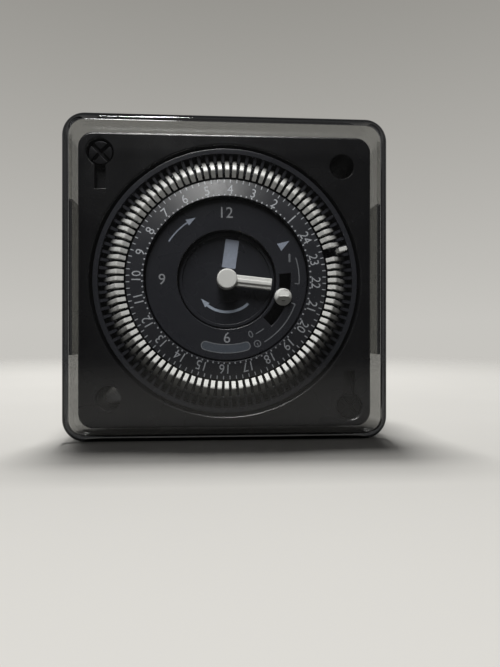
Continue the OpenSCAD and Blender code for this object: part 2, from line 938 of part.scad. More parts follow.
module movement_screws() {
    head_h = 1.1;
    color("#b8babd")
        for (p = pillar_places)
            translate(p) {
                disc(plate_screw_r, rear_plate_back - over, rear_plate_z + screw_in);
                disc(plate_screw_r + head_over, rear_plate_back - head_h, rear_plate_back);
            }
}

// Motor

module motor_can() {
    color("#b8babd")
        at_motor()
            difference() {
                union() {
                    disc(motor_r, motor_back, rear_plate_back);
                    translate([-ear_w / 2, -ear_x - ear_end, ear_back])
                        cube([ear_w, 2 * (ear_x + ear_end), ear_t]);
                }
                disc(motor_r - can_t, motor_back - over, rear_plate_back - can_t);
                disc(shaft_r + run_fit, motor_back, rear_plate_back + over);
                for (y = [-ear_x, ear_x])
                    translate([0, y, 0])
                        disc(plate_screw_r + run_fit, ear_back - over, rear_plate_back + over);
            }
}

module motor_cap() {
    color("#8f9194")
        at_motor() {
            disc(motor_r - can_t - seat_fit, motor_back, motor_back + can_t);
            disc(shaft_r, motor_back, rear_plate_back - shaft_in - end_gap);
        }
}

module motor_coil() {
    coil_fit = 0.5;
    color("#a4562c")
        at_motor()
            tube(motor_r - can_t - coil_fit, rotor_r + coil_fit, motor_back + can_t,
                rear_plate_back - can_t - coil_fit);
}

module motor_rotor() {
    color("#3b3b3e")
        at_motor()
            tube(rotor_r, shaft_r + run_fit, motor_back + can_t + 2 * end_gap,
                rear_plate_back - shaft_in - 2 * end_gap);
}

module motor_pinion() {
    color("#c9a75a")
        at_motor() {
            disc(shaft_r, rear_plate_back - shaft_in, minute_wheel_z + end_gap);
            rotate([0, 0, 180 + 180 / motor_pinion_n])
                gear(motor_pinion_n, motor_pair, pinion_addendum, shaft_r - over,
                    minute_wheel_z + end_gap, minute_wheel_back - end_gap);
        }
}

module motor_screws() {
    head_h = 1;
    color("#b8babd")
        at_motor()
            for (y = [-ear_x, ear_x])
                translate([0, y, 0]) {
                    disc(plate_screw_r, ear_back - over, rear_plate_z);
                    disc(plate_screw_r + head_over, ear_back - head_h, ear_back);
                }
}

// Switch gear

module feeler_lever() {
    arm_l = feeler_end_y - feeler_pivot.y;
    color("#ded9c8")
        difference() {
            union() {
                slab(feeler_back, feeler_z) {
                    translate(feeler_pivot) circle(feeler_pin_r + feeler_hub);
                    translate([feeler_pivot.x - feeler_w / 2 + feeler_shift, feeler_pivot.y])
                        square([feeler_w, arm_l]);
                }
                translate([nose_x, 0, 0]) disc(nose_r, feeler_back, nose_top);
            }
            translate(feeler_pivot) disc(feeler_pin_r + run_fit, feeler_back - over, feeler_z + over);
        }
}

module feeler_pin() {
    color("#b8babd")
        translate(feeler_pivot) disc(feeler_pin_r, plate_z, floor_back);
}

module feeler_spring() {
    spring_t = 0.25;
    spring_gap = 0.3;
    spring_l = 14;
    post_w = 2;
    spring_x = feeler_pivot.x + feeler_w / 2 + feeler_shift + spring_gap;
    spring_up = 4;
    spring_y = feeler_pivot.y + spring_up;
    color("#b8babd") {
        translate([spring_x, spring_y, feeler_back])
            cube([spring_t, spring_l, feeler_t]);
        translate([spring_x, spring_y, plate_z])
            cube([post_w, post_w, floor_back - plate_z]);
    }
}

module switch_body() {
    color("#2a2a2d")
        difference() {
            translate([switch_x - switch_w, switch_y, switch_seat])
                cube([switch_w, switch_l, switch_front - switch_seat]);
            translate([switch_x + over, button_y, button_z])
                rotate([0, -90, 0])
                    cylinder(h = 2 * button_in, r = button_r + run_fit);
            for (p = switch_screw_places)
                translate(p) disc(switch_screw_r + run_fit, switch_seat - over, switch_front + over);
        }
}

module switch_button() {
    color("#c83a2e")
        translate([switch_x - button_in, button_y, button_z])
            rotate([0, 90, 0])
                cylinder(h = button_in + button_out, r = button_r);
}

module switch_screws() {
    head_h = 0.4;
    color("#b8babd")
        for (p = switch_screw_places)
            translate(p) {
                disc(switch_screw_r, switch_seat, switch_front + over);
                disc(switch_screw_r + head_over, switch_front, switch_front + head_h);
            }
}

module terminal_blades() {
    color("#c9b98a")
        blades(0);
}

// Panel clamps

module clamp_screw() {
    slot_w = 0.8;
    slot_h = 0.8;
    head_z = flange_t;
    color("#6d6f73")
        translate([-clamp_x, clamp_y, 0])
            difference() {
                union() {
                    disc(clamp_r, -pocket_depth - tip_in_case, head_z + over);
                    disc(clamp_head_r, head_z, head_z + clamp_head_h);
                }
                for (turn = [45, 135])
                    rotate([0, 0, turn])
                        translate([-clamp_head_r, -slot_w / 2, head_z + clamp_head_h - slot_h])
                            cube([2 * clamp_head_r, slot_w, slot_h + over]);
            }
}

module claw() {
    claw_gap = 2;
    claw_rest = -pocket_depth + claw_gap;
    tooth_l = 2;
    color("#6d6f73")
        translate([-clamp_x, clamp_y, claw_rest])
            difference() {
                union() {
                    disc(claw_hub_r, 0, claw_h);
                    translate([-claw_w / 2, -claw_reach, 0])
                        cube([claw_w, claw_reach, claw_h]);
                    translate([-claw_w / 2, -claw_reach, 0])
                        cube([claw_w, tooth_l, claw_h + claw_tooth]);
                }
                disc(clamp_r + run_fit, -over, claw_h + over);
            }
}

module half_turn() {
    rotate([0, 0, 180])
        children();
}

upright() case();
upright() front_frame();
upright() cover();
upright() dial();
upright() dial_gear();
upright() pivot_wire();
upright() trippers();
upright() tripper(first_single, 0);  // tripper_2300
upright() tripper(first_single + 1, trip_lean);  // tripper_2315
upright() tripper(first_single + 2, trip_lean);  // tripper_2330
upright() tripper(first_single + 3, trip_lean);  // tripper_2345
upright() centre_face();
upright() centre_post();
upright() hour_disc();
upright() hour_wheel();
upright() minute_arbor();
upright() minute_hand();
upright() cannon_pinion();
upright() minute_wheel();
upright() clutch_washer();
upright() idler_arbor();
upright() idler_wheel();
upright() dial_pinion();
upright() override_lever();
upright() override_knob();
upright() override_cam();
upright() movement_plate();
upright() rear_plate();
upright() pillars();
upright() movement_screws();
upright() motor_can();
upright() motor_cap();
upright() motor_coil();
upright() motor_rotor();
upright() motor_pinion();
upright() motor_screws();
upright() feeler_lever();
upright() feeler_pin();
upright() feeler_spring();
upright() switch_body();
upright() switch_button();
upright() switch_screws();
upright() terminal_blades();
upright() clamp_screw();  // clamp_screw_top
upright() half_turn() clamp_screw();  // clamp_screw_bottom
upright() claw();  // claw_top
upright() half_turn() claw();  // claw_bottom
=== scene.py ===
"""Panel mount timer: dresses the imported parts, piece by piece, on their own frame."""

import json
import math

import bmesh
import bpy
from bpy.props import FloatProperty, FloatVectorProperty, PointerProperty
from mathutils import Matrix, Vector

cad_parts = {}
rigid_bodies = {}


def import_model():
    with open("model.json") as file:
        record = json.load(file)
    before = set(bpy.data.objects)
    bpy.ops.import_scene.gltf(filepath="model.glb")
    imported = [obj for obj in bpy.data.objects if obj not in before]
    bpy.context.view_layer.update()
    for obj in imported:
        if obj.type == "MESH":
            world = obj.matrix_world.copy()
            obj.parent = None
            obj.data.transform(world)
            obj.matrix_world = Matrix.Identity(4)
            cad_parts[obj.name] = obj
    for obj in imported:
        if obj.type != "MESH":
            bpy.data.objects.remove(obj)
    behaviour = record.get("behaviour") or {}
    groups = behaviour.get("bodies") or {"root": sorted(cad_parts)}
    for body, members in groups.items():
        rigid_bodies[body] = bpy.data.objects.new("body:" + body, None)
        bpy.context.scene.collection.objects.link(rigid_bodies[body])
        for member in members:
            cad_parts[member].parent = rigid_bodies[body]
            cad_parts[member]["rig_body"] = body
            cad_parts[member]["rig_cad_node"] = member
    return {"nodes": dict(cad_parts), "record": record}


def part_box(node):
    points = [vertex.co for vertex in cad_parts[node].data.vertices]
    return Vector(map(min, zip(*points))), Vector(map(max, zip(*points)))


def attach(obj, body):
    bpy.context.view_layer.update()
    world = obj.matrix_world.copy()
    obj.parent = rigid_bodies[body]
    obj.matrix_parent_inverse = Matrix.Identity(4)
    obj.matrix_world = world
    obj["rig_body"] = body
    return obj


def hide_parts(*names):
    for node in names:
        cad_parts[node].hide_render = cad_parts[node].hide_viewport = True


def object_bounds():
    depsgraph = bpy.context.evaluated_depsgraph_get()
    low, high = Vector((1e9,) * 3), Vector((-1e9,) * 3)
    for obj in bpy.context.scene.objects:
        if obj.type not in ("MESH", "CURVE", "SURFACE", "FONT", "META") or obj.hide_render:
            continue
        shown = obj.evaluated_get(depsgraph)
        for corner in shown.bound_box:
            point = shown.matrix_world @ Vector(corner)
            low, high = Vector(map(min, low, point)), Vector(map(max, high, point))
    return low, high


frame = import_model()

bl_info = {
    "name": "Panel Timer Dresser",
    "version": (1, 0, 0),
    "blender": (4, 5, 0),
    "location": "View3D > Sidebar > Panel timer",
    "description": "Models the visible pieces of a panel mount timer and gives them their finishes",
    "category": "Object",
}

MM = 0.001
CAD_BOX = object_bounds()

# How near counts as the same place, in metres, and the cosine from which something faces one way
HAIR = 0.001 * MM
CLOSE = 0.01 * MM
FACING = 0.9

# Heights of faces in front of the panel, in mm
DIAL_FACE = 7.0
DIAL_RIM_FACE = 3.9
CENTRE_FACE = 6.8
DISC_FACE = 4.7
SCREW_FACE = 2.9

# The clock angle of midnight on the dial and the steps round it, in degrees
MIDNIGHT = 62.0
QUARTERS = 96
QUARTER = 360 / QUARTERS
HOUR = 15.0

# Radii about the dial's axis, in mm: edge of the well, rim of the dial, start of the frame's corners
WELL_EDGE = 31.7
DIAL_RIM = 30.5
FRAME_CORNERS = 43.0

# Half widths of the case and of its flange, and width of the case's rim, in mm
CASE_HALF = 32.8
FLANGE_HALF = 34.3
CASE_RIM = 0.8

# Where a square's round corners start, in half widths, and how near is on an outline, in mm
CORNER_SHARE = 1.33
NEAR = 0.1

# Shallow pockets in the back, in mm: width, bottom and top, and their depth, corners and the label in one
LABEL_POCKET = (40.0, 2.0, 20.0)
NUMBER_POCKET = (43.0, -16.0, -11.8)
REAR_POCKET = 0.3
POCKET_CORNER = 1.0
LABEL_GAP = 0.6
LABEL_THICKNESS = 0.12

# Pads inside the cover, in mm: gap behind its front wall, and the height where they end
PAD_GAP = 0.3
PAD_REAR = 4.2

# Number ring of the dial, in mm: its edges, their heights on the dial's face, and the circles of its print
RING_INNER = 18.75
RING_OUTER = 22.78
RING_RISE = 1.15
RING_FALL = 0.1
NUMBER_CIRCLE = 20.35
TICK_CIRCLE = 22.33
DOT_CIRCLE = 19.0

# Trippers, in mm and degrees: circle and height of their pivots, and how far one leans in when it is off
PIVOT_RADIUS = 27.3
PIVOT_HEIGHT = 2.5
LEAN = 32.0

# Heights between which the trippers go from painted shade at the foot to their own white, in mm, and the
# trippers with their own joints
TRIPPER_PAINTED_SHADE = (3.4, 6.2)
SINGLES = ("tripper_2300", "tripper_2315", "tripper_2330", "tripper_2345")

# Print on the centre face and the hour disc: clock angles in degrees, then radii in mm
FACE_NUMBERS = (("12", 0, 15.3), ("9", 270, 14.7), ("6", 180, 13.2))
TURN_ARROW = (303, 325, 15.7)
DISC_ARROW = (137, 218, 7.3)
LEAD_CIRCLE = 16.6
LEAD_FOOT = 16.1
ON_LEAD = (72, 93)
CLOCK_LEAD = (109.6, 149)
CLOCK_SIGN = (154.5, 16.2)
BADGE_ENDS = (164, 198)
BADGE_CIRCLE = 15.8

# Clock angle of the minute hand at rest, in degrees
HAND_ANGLE = 96


# Colours and sizes


def linear(code):
    """An sRGB hex colour as linear red, green and blue."""
    parts = [int(code[i : i + 2], 16) / 255 for i in (1, 3, 5)]
    return tuple(p / 12.92 if p <= 0.04045 else ((p + 0.055) / 1.055) ** 2.4 for p in parts)


def shade(rgb, share=1.0):
    """A colour made lighter or darker by a share, with alpha."""
    return tuple(min(1.0, c * share) for c in rgb) + (1.0,)


def length(name, description, millimetres):
    """A size property in metres, given in millimetres."""
    return FloatProperty(
        name=name,
        description=description,
        default=millimetres * MM,
        min=0.0,
        precision=5,
        unit="LENGTH",
    )


def colour(name, description, code):
    """A colour property, given as sRGB hex."""
    return FloatVectorProperty(
        name=name,
        description=description,
        default=linear(code),
        min=0.0,
        max=1.0,
        size=3,
        subtype="COLOR",
    )


class TimerSizes(bpy.types.PropertyGroup):
    """Sizes of what is modelled here."""

    cover_wall: length("Cover wall", "Thickness of the clear cover", 1.4)
    cover_corner: length("Cover corner", "Radius of the cover's four corners", 5.0)
    cover_edge: length("Cover edge", "Radius round the cover's front", 1.7)
    pad_length: length("Pad length", "Height of the thick pads inside the cover's sides", 34.0)
    pad_depth: length("Pad depth", "How far a pad stands in from the cover's side", 0.8)
    frame_edge: length("Frame edge", "Radius round the front frame", 0.6)
    moulded_edge: length("Moulded edge", "Radius of the small edges of moulded pieces", 0.22)
    tripper_width: length("Tripper width", "Width of one tripper along the dial", 0.92)
    tripper_depth: length("Tripper depth", "Depth of one tripper across the dial", 2.0)
    tripper_length: length("Tripper length", "Reach of one tripper from its pivot", 6.2)
    dial_numeral: length("Dial numeral", "Height of the hour numbers on the dial", 2.2)
    face_numeral: length("Face numeral", "Height of the numbers on the centre face", 2.45)
    ink: length("Ink", "Thickness of the print", 0.03)


class TimerColours(bpy.types.PropertyGroup):
    """Colours of the plastics, inks and the stage."""

    housing: colour("Housing", "Black of the frame and the case", "#141416")
    dial: colour("Dial", "Black of the dial and the centre", "#292a2f")
    white: colour("White", "Warm white of the trippers, hand and knob", "#e8e8e5")
    cover: colour("Cover", "Smoke tint of the cover", "#ebebe9")
    cover_pad: colour("Cover pad", "Smoke tint of the thick pads inside the cover", "#5e5e5a")
    # Painted shade: the near-black tint stands in for the darkness seen where one looks along the cover's
    # wall.
    cover_edge: colour("Cover edge", "Tint where one looks along the cover's wall", "#0e0f11")
    print_grey: colour("Print", "Light grey of the numbers and marks", "#b8bbc1")
    bar_blue: colour("Hour bar", "Grey blue of the hour bar and the arrows", "#9aa2b2")
    floor: colour("Floor", "Pale floor and backdrop", "#c4c2bd")


# Modelling by hand


def deselect_all():
    """Leaves nothing selected, in object mode."""
    if bpy.context.object and bpy.context.object.mode != "OBJECT":
        bpy.ops.object.mode_set(mode="OBJECT")
    bpy.ops.object.select_all(action="DESELECT")


def take(piece):
    """Leaves one object selected and active, in object mode."""
    deselect_all()
    piece.select_set(True)
    bpy.context.view_layer.objects.active = piece


def settle():
    """Moves the selected object's place, turn and scale into its mesh."""
    bpy.ops.object.transform_apply(location=True, rotation=True, scale=True)


def pick(piece, kind, test=lambda element: True):
    """Enters edit mode and selects only the VERT, EDGE or FACE elements that pass a test."""
    take(piece)
    bpy.ops.object.mode_set(mode="EDIT")
    bpy.ops.mesh.select_mode(type=kind)
    bpy.ops.mesh.select_all(action="DESELECT")
    mesh = bmesh.from_edit_mesh(piece.data)
    elements = {"VERT": mesh.verts, "EDGE": mesh.edges, "FACE": mesh.faces}[kind]
    chosen = [element for element in elements if test(element)]
    if not chosen:
        raise RuntimeError(f"{piece.name}: nothing to select")
    for element in chosen:
        element.select_set(True)
    mesh.select_flush_mode()
    bmesh.update_edit_mesh(piece.data)


def bevel(piece, radius, segments, test, kind="EDGES", clamp=True):
    """Rounds the edges or corners that pass a test, by less where they crowd if clamped."""
    pick(piece, "VERT" if kind == "VERTICES" else "EDGE", test)
    bpy.ops.mesh.bevel(
        offset=radius,
        offset_type="OFFSET",
        segments=segments,
        profile=0.5,
        affect=kind,
        clamp_overlap=clamp,
    )
    bpy.ops.object.mode_set(mode="OBJECT")


def extrude(move):
    """Draws the selected faces out by a move."""
    bpy.ops.mesh.extrude_region_move(TRANSFORM_OT_translate={"value": move})
    bpy.ops.object.mode_set(mode="OBJECT")


def apply(piece, kind, **settings):
    """Adds a modifier with its settings and applies it."""
    take(piece)
    modifier = piece.modifiers.new(kind.title(), kind)
    for key, value in settings.items():
        setattr(modifier, key, value)
    bpy.ops.object.modifier_apply(modifier=modifier.name)


def combine(piece, operation, tool):
    """Cuts a tool out of a piece or adds it, and removes the tool."""
    apply(piece, "BOOLEAN", operation=operation, object=tool, solver="EXACT")
    bpy.data.objects.remove(tool)


def block(low, high):
    """A box between two corners, in metres, as a start."""
    deselect_all()
    low, high = Vector(low), Vector(high)
    bpy.ops.mesh.primitive_cube_add(size=1, location=(low + high) / 2)
    piece = bpy.context.object
    piece.scale = high - low
    settle()
    return piece


def drum(radius, back, front, sides):
    """A round block about the dial's axis, in mm, as a start."""
    deselect_all()
    bpy.ops.mesh.primitive_cylinder_add(
        vertices=sides,
        radius=radius * MM,
        depth=(front - back) * MM,
        location=(0, -(front + back) / 2 * MM, 0),
        rotation=(math.pi / 2, 0, 0),
    )
    settle()
    return bpy.context.object


def lathe(outline, steps):
    """A ring turned about the dial's axis from a closed outline of radius and height, in mm."""
    deselect_all()
    bpy.ops.mesh.primitive_plane_add(size=MM)
    piece = bpy.context.object
    points = [Vector((0, -height * MM, radius * MM)) for radius, height in outline]
    points.append(points[0])
    bpy.ops.object.mode_set(mode="EDIT")
    bpy.ops.mesh.select_mode(type="VERT")
    bpy.ops.mesh.select_all(action="SELECT")
    bpy.ops.mesh.merge(type="CENTER")
    bpy.ops.transform.translate(value=points[0])
    for near, far in zip(points, points[1:]):
        bpy.ops.mesh.extrude_vertices_move(TRANSFORM_OT_translate={"value": far - near})
    bpy.ops.mesh.select_all(action="SELECT")
    bpy.ops.mesh.spin(steps=steps, angle=2 * math.pi, center=(0, 0, 0), axis=(0, 1, 0))
    face_out(piece)
    return piece


def at_clock(piece, angle, radius=0.0, height=0.0, tilt=0.0):
    """Moves a piece made at the middle to a clock angle, radius and height in mm, tilted outwards."""
    take(piece)
    turn = Matrix.Rotation(math.radians(angle), 4, "Y")
    move = Matrix.Translation((0, -height * MM, radius * MM))
    lean = Matrix.Rotation(-math.radians(tilt), 4, "X")
    piece.matrix_world = turn @ move @ lean @ piece.matrix_world
    settle()
    return piece


def twin(piece):
    """A copy of a piece with its own mesh."""
    take(piece)
    bpy.ops.object.duplicate()
    return bpy.context.object


def join(pieces):
    """Joins pieces into the first."""
    deselect_all()
    for piece in pieces:
        piece.select_set(True)
    bpy.context.view_layer.objects.active = pieces[0]
    if len(pieces) > 1:
        bpy.ops.object.join()
    return pieces[0]


def face_out(piece):
    """Merges doubled points and turns every face outwards."""
    take(piece)
    bpy.ops.object.mode_set(mode="EDIT")
    bpy.ops.mesh.select_all(action="SELECT")
    bpy.ops.mesh.remove_doubles(threshold=1e-7)
    bpy.ops.mesh.normals_make_consistent(inside=False)
    bpy.ops.object.mode_set(mode="OBJECT")


def exact_copy(node):
    """A merged copy of a CAD node, with flat areas freed of their triangles."""
    piece = twin(frame["nodes"][node])
    piece.parent = None
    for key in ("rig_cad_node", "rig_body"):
        if key in piece:
            del piece[key]
    bpy.ops.mesh.customdata_custom_splitnormals_clear()
    bpy.ops.object.mode_set(mode="EDIT")
    bpy.ops.mesh.select_all(action="SELECT")
    bpy.ops.mesh.remove_doubles(threshold=HAIR)
    bpy.ops.mesh.dissolve_limited(angle_limit=math.radians(0.3))
    bpy.ops.object.mode_set(mode="OBJECT")
    return piece


def spot(edge):
    """Where an edge's middle is, in mm seen from the front: x, y, height to the front, radius."""
    middle = (edge.verts[0].co + edge.verts[1].co) / 2 / MM
    return middle.x, middle.z, -middle.y, math.hypot(middle.x, middle.z)


def is_sharp(edge, degrees=40):
    """Whether two faces meet in a real corner at an edge."""
    return len(edge.link_faces) == 2 and edge.calc_face_angle() > math.radians(degrees)


def flat_at(edge, height, reach=0.02):
    """Whether an edge lies in a plane at a height to the front, in mm."""
    return all(abs(-v.co.y / MM - height) < reach for v in edge.verts)


def before(edge, y):
    """Whether an edge lies nearer to the viewer than a y in metres."""
    return all(v.co.y < y for v in edge.verts)


def beyond(edge, y):
    """Whether an edge lies further from the viewer than a y in metres."""
    return all(v.co.y > y for v in edge.verts)


def runs_along(edge, axis):
    """Whether an edge runs along the x, y or z axis."""
    return abs(getattr((edge.verts[0].co - edge.verts[1].co).normalized(), axis)) > FACING


def finish_piece(piece, name, body, finish, stands_for=(), smooth=32):
    """Names a finished piece, smooths and paints it, and sets it on its body."""
    take(piece)
    settle()
    bpy.ops.object.shade_smooth_by_angle(angle=math.radians(smooth))
    apply(piece, "WEIGHTED_NORMAL", weight=100, keep_sharp=True)
    piece.name = name
    piece.data.name = name
    piece.data.materials.clear()
    piece.data.materials.append(finish_named(finish))
    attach(piece, body)
    if stands_for:
        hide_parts(*stands_for)
    return piece


# Print


def ink_bar(width, height, rounding=0.3):
    """A flat bar with rounded corners, standing up at the middle, in mm."""
    deselect_all()
    bpy.ops.mesh.primitive_plane_add(size=1, rotation=(math.pi / 2, 0, 0))
    piece = bpy.context.object
    piece.scale = (width * MM, height * MM, 1)
    settle()
    bevel(piece, min(width, height) * rounding * MM, 2, lambda v: True, "VERTICES")
    return piece


def ink_arc(inner, outer, start, stop):
    """A flat band between two radii, from one clock angle on to another, in mm and degrees."""
    deselect_all()
    wide = (outer - inner) * MM
    bpy.ops.mesh.primitive_plane_add(
        size=wide, location=(wide / 2, 0, (outer + inner) / 2 * MM), rotation=(math.pi / 2, 0, 0)
    )
    piece = bpy.context.object
    settle()
    pick(piece, "VERT", lambda v: v.co.x > wide / 2)
    bpy.ops.mesh.delete(type="VERT")
    bpy.ops.mesh.select_all(action="SELECT")
    sweep = stop - start
    steps = max(6, round(sweep / 2.5))
    bpy.ops.mesh.spin(steps=steps, angle=-math.radians(sweep), center=(0, 0, 0), axis=(0, 1, 0))
    bpy.ops.object.mode_set(mode="OBJECT")
    return at_clock(piece, start)


def ink_ring(inner, outer):
    """A flat ring at the middle, or a disc if it has no inner radius, in mm."""
    return ink_arc(inner, outer, 0, 360)


def ink_line(radius, half, start, stop):
    """A line along a circle, with half its width given, in mm and degrees."""
    return ink_arc(radius - half, radius + half, start, stop)


def ink_disc(radius, vertices):
    """A flat disc or polygon at the middle, in metres."""
    deselect_all()
    bpy.ops.mesh.primitive_circle_add(
        vertices=vertices, radius=radius, fill_type="NGON", rotation=(math.pi / 2, 0, 0)
    )
    settle()
    return bpy.context.object


def ink_half_disc(radius, side, angle, circle):
    """The half of a flat disc that lies clockwise (1) or anticlockwise (-1) of a clock place."""
    piece = ink_disc(radius * MM, 24)
    pick(piece, "FACE")
    bpy.ops.mesh.bisect(plane_co=(0, 0, 0), plane_no=(side, 0, 0), clear_inner=True)
    bpy.ops.object.mode_set(mode="OBJECT")
    return at_clock(piece, angle, circle)


def ink_point(base, tall):
    """A flat triangle that points up from the middle of its base, in mm."""
    piece = ink_disc(1, 3)
    low = min(v.co.z for v in piece.data.vertices)
    high = max(v.co.z for v in piece.data.vertices)
    wide = max(v.co.x for v in piece.data.vertices) * 2
    tip = max(piece.data.vertices, key=lambda v: abs(v.co.z - (low + high) / 2) - abs(v.co.x))
    flip = 1 if tip.co.z > 0 else -1
    piece.scale = (base * MM / wide, 1, flip * tall * MM / (high - low))
    piece.location.z = -min(flip * low, flip * high) * abs(piece.scale.z)
    settle()
    return piece


def ink_arrow(start, stop, circle, half, base, tall):
    """An arrow clockwise along a circle: a line with half its width given, and a head."""
    line = ink_line(circle, half, start, stop)
    head = ink_point(base, tall)
    take(head)
    head.rotation_euler = (0, math.pi / 2 + tall / circle / 2, 0)
    settle()
    return [line, at_clock(head, stop, circle)]


def ink_word(word, height, narrow=1.0):
    """A short word or number, standing up and centred at the middle, in mm."""
    deselect_all()
    bpy.ops.object.text_add()
    text = bpy.context.object
    text.data.body = word
    text.data.resolution_u = 3
    bpy.ops.object.convert(target="MESH")
    piece = bpy.context.object
    bpy.ops.object.origin_set(type="ORIGIN_GEOMETRY", center="BOUNDS")
    size = height * MM / piece.dimensions.y
    piece.location = (0, 0, 0)
    piece.scale = (size * narrow, size, size)
    piece.rotation_euler = (math.pi / 2, 0, 0)
    settle()
    return piece


def upright(mark, angle, radius):
    """Moves a mark to a clock place without turning it."""
    take(mark)
    turn = math.radians(angle)
    mark.location = (radius * math.sin(turn) * MM, 0, radius * math.cos(turn) * MM)
    settle()
    return mark


def thicken(marks):
    """Joins flat marks, turns them to the front and gives them the ink's thickness."""
    piece = join(marks)
    take(piece)
    bpy.ops.object.mode_set(mode="EDIT")
    mesh = bmesh.from_edit_mesh(piece.data)
    mesh.normal_update()
    for face in mesh.faces:
        face.select_set(face.normal.y > 0)
    bmesh.update_edit_mesh(piece.data)
    bpy.ops.mesh.flip_normals()
    bpy.ops.object.mode_set(mode="OBJECT")
    apply(piece, "SOLIDIFY", thickness=bpy.context.scene.timer_sizes.ink, offset=1.0)
    return piece


def printed(marks, height, name, body, finish):
    """Joins flat marks into one print on a face at a height in mm."""
    piece = at_clock(thicken(marks), 0, height=height)
    return finish_piece(piece, name, body, finish)


# Finishes


def add(tree, kind, inputs=None, **properties):
    """Adds a node with its properties, and gives each input a value or another node's output."""
    node = tree.nodes.new("ShaderNode" + kind)
    for key, value in properties.items():
        setattr(node, key, value)
    for key, value in (inputs or {}).items():
        if isinstance(value, bpy.types.NodeSocket):
            tree.links.new(value, node.inputs[key])
        else:
            node.inputs[key].default_value = value
    return node


def begin(name):
    """A new material that has only its object coordinates so far."""
    material = bpy.data.materials.new(name)
    material.use_nodes = True
    tree = material.node_tree
    tree.nodes.clear()
    return material, tree, add(tree, "TexCoord").outputs["Object"]


def black_abs(name, rgb, roughness, grain):
    """Moulded ABS: spark-eroded mould texture, uneven sheen, and a little dust on what faces up."""
    material, tree, place = begin(name)
    fine = add(tree, "TexNoise", {"Vector": place, "Scale": 1 / (grain * MM), "Detail": 3.0})
    flow = add(tree, "TexNoise", {"Vector": place, "Scale": 1 / (9 * MM), "Detail": 2.0}).outputs["Fac"]
    specks = add(tree, "TexNoise", {"Vector": place, "Scale": 1 / (0.7 * MM), "Detail": 1.0})
    tone = add(tree, "Mix", {0: flow, 6: shade(rgb, 0.92), 7: shade(rgb, 1.1)}, data_type="RGBA")
    normal = add(tree, "NewGeometry").outputs["Normal"]
    up = add(tree, "SeparateXYZ", {0: normal}).outputs["Z"]
    lying = add(tree, "MapRange", {"Value": up, "From Min": 0.5, "From Max": 1.0, "To Max": 0.3})
    dusty = add(tree, "MapRange", {"Value": specks.outputs["Fac"], "From Min": 0.62, "From Max": 0.72})
    amount = {0: lying.outputs["Result"], 1: dusty.outputs["Result"]}
    dust = add(tree, "Math", amount, operation="MULTIPLY").outputs[0]
    dusted = add(
        tree, "Mix", {0: dust, 6: tone.outputs[2], 7: shade(linear("#6c6a66"))}, data_type="RGBA"
    )
    ends = {"To Min": roughness - 0.03, "To Max": roughness + 0.03}
    sheen = add(tree, "MapRange", {"Value": flow, "From Min": 0.3, "From Max": 0.7, **ends})
    relief = add(tree, "Bump", {"Strength": 0.08, "Distance": 0.01 * MM, "Height": fine.outputs["Fac"]})
    surface = add(
        tree,
        "BsdfPrincipled",
        {
            "Base Color": dusted.outputs[2],
            "Roughness": sheen.outputs["Result"],
            "Normal": relief.outputs["Normal"],
            "IOR": 1.53,
        },
    )
    add(tree, "OutputMaterial", {"Surface": surface.outputs["BSDF"]})
    return material


def white_acetal(name, rgb, foot=None):
    """Moulded acetal: milky, half matt, a little uneven, and darkened by painted shade towards a foot if
    it has one.
    """
    material, tree, place = begin(name)
    flow = add(tree, "TexNoise", {"Vector": place, "Scale": 1 / (2.5 * MM), "Detail": 2.0}).outputs["Fac"]
    fine = add(tree, "TexNoise", {"Vector": place, "Scale": 1 / (0.25 * MM), "Detail": 2.0})
    paint = add(tree, "Mix", {0: flow, 6: shade(rgb, 0.92), 7: shade(rgb, 1.04)}, data_type="RGBA")
    # Painted shade: the colour darkens towards the foot, where little light reaches between the trippers.
    if foot:
        depth = add(tree, "SeparateXYZ", {0: place}).outputs["Y"]
        ends = {"From Min": -foot[0] * MM, "From Max": -foot[1] * MM}
        painted_shade_rise = add(tree, "MapRange", {"Value": depth, **ends}).outputs["Result"]
        paint = add(tree, "Mix", {0: painted_shade_rise, 6: shade(rgb, 0.12), 7: paint.outputs[2]}, data_type="RGBA")
    relief = add(tree, "Bump", {"Strength": 0.2, "Distance": 0.01 * MM, "Height": fine.outputs["Fac"]})
    surface = add(
        tree,
        "BsdfPrincipled",
        {
            "Base Color": paint.outputs[2],
            "Normal": relief.outputs["Normal"],
            "Roughness": 0.42,
            "IOR": 1.48,
        },
    )
    add(tree, "OutputMaterial", {"Surface": surface.outputs["BSDF"]})
    return material


def smoked_polycarbonate(name, rgb, let_in):
    """Polished polycarbonate with a little smoke: clear to look through, with faint ripples."""
    material, tree, place = begin(name)
    ripple = add(tree, "TexNoise", {"Vector": place, "Scale": 1 / (18 * MM), "Detail": 1.0})
    relief = add(tree, "Bump", {"Strength": 0.02, "Distance": 0.05 * MM, "Height": ripple.outputs["Fac"]})
    surface = add(
        tree,
        "BsdfPrincipled",
        {
            "Base Color": shade(rgb),
            "Normal": relief.outputs["Normal"],
            "Transmission Weight": 1.0,
            "Roughness": 0.02,
            "IOR": 1.58,
        },
    )
    # Light to and from what is inside goes straight through, so lamps and their shines reach it.
    straight = add(tree, "BsdfTransparent", {"Color": (let_in, let_in, let_in, 1.0)})
    path = add(tree, "LightPath")
    shown = surface.outputs["BSDF"]
    for ray in ("Is Reflection Ray", "Is Shadow Ray"):
        both = {0: path.outputs[ray], 1: shown, 2: straight.outputs["BSDF"]}
        shown = add(tree, "MixShader", both).outputs[0]
    add(tree, "OutputMaterial", {"Surface": shown})
    return material


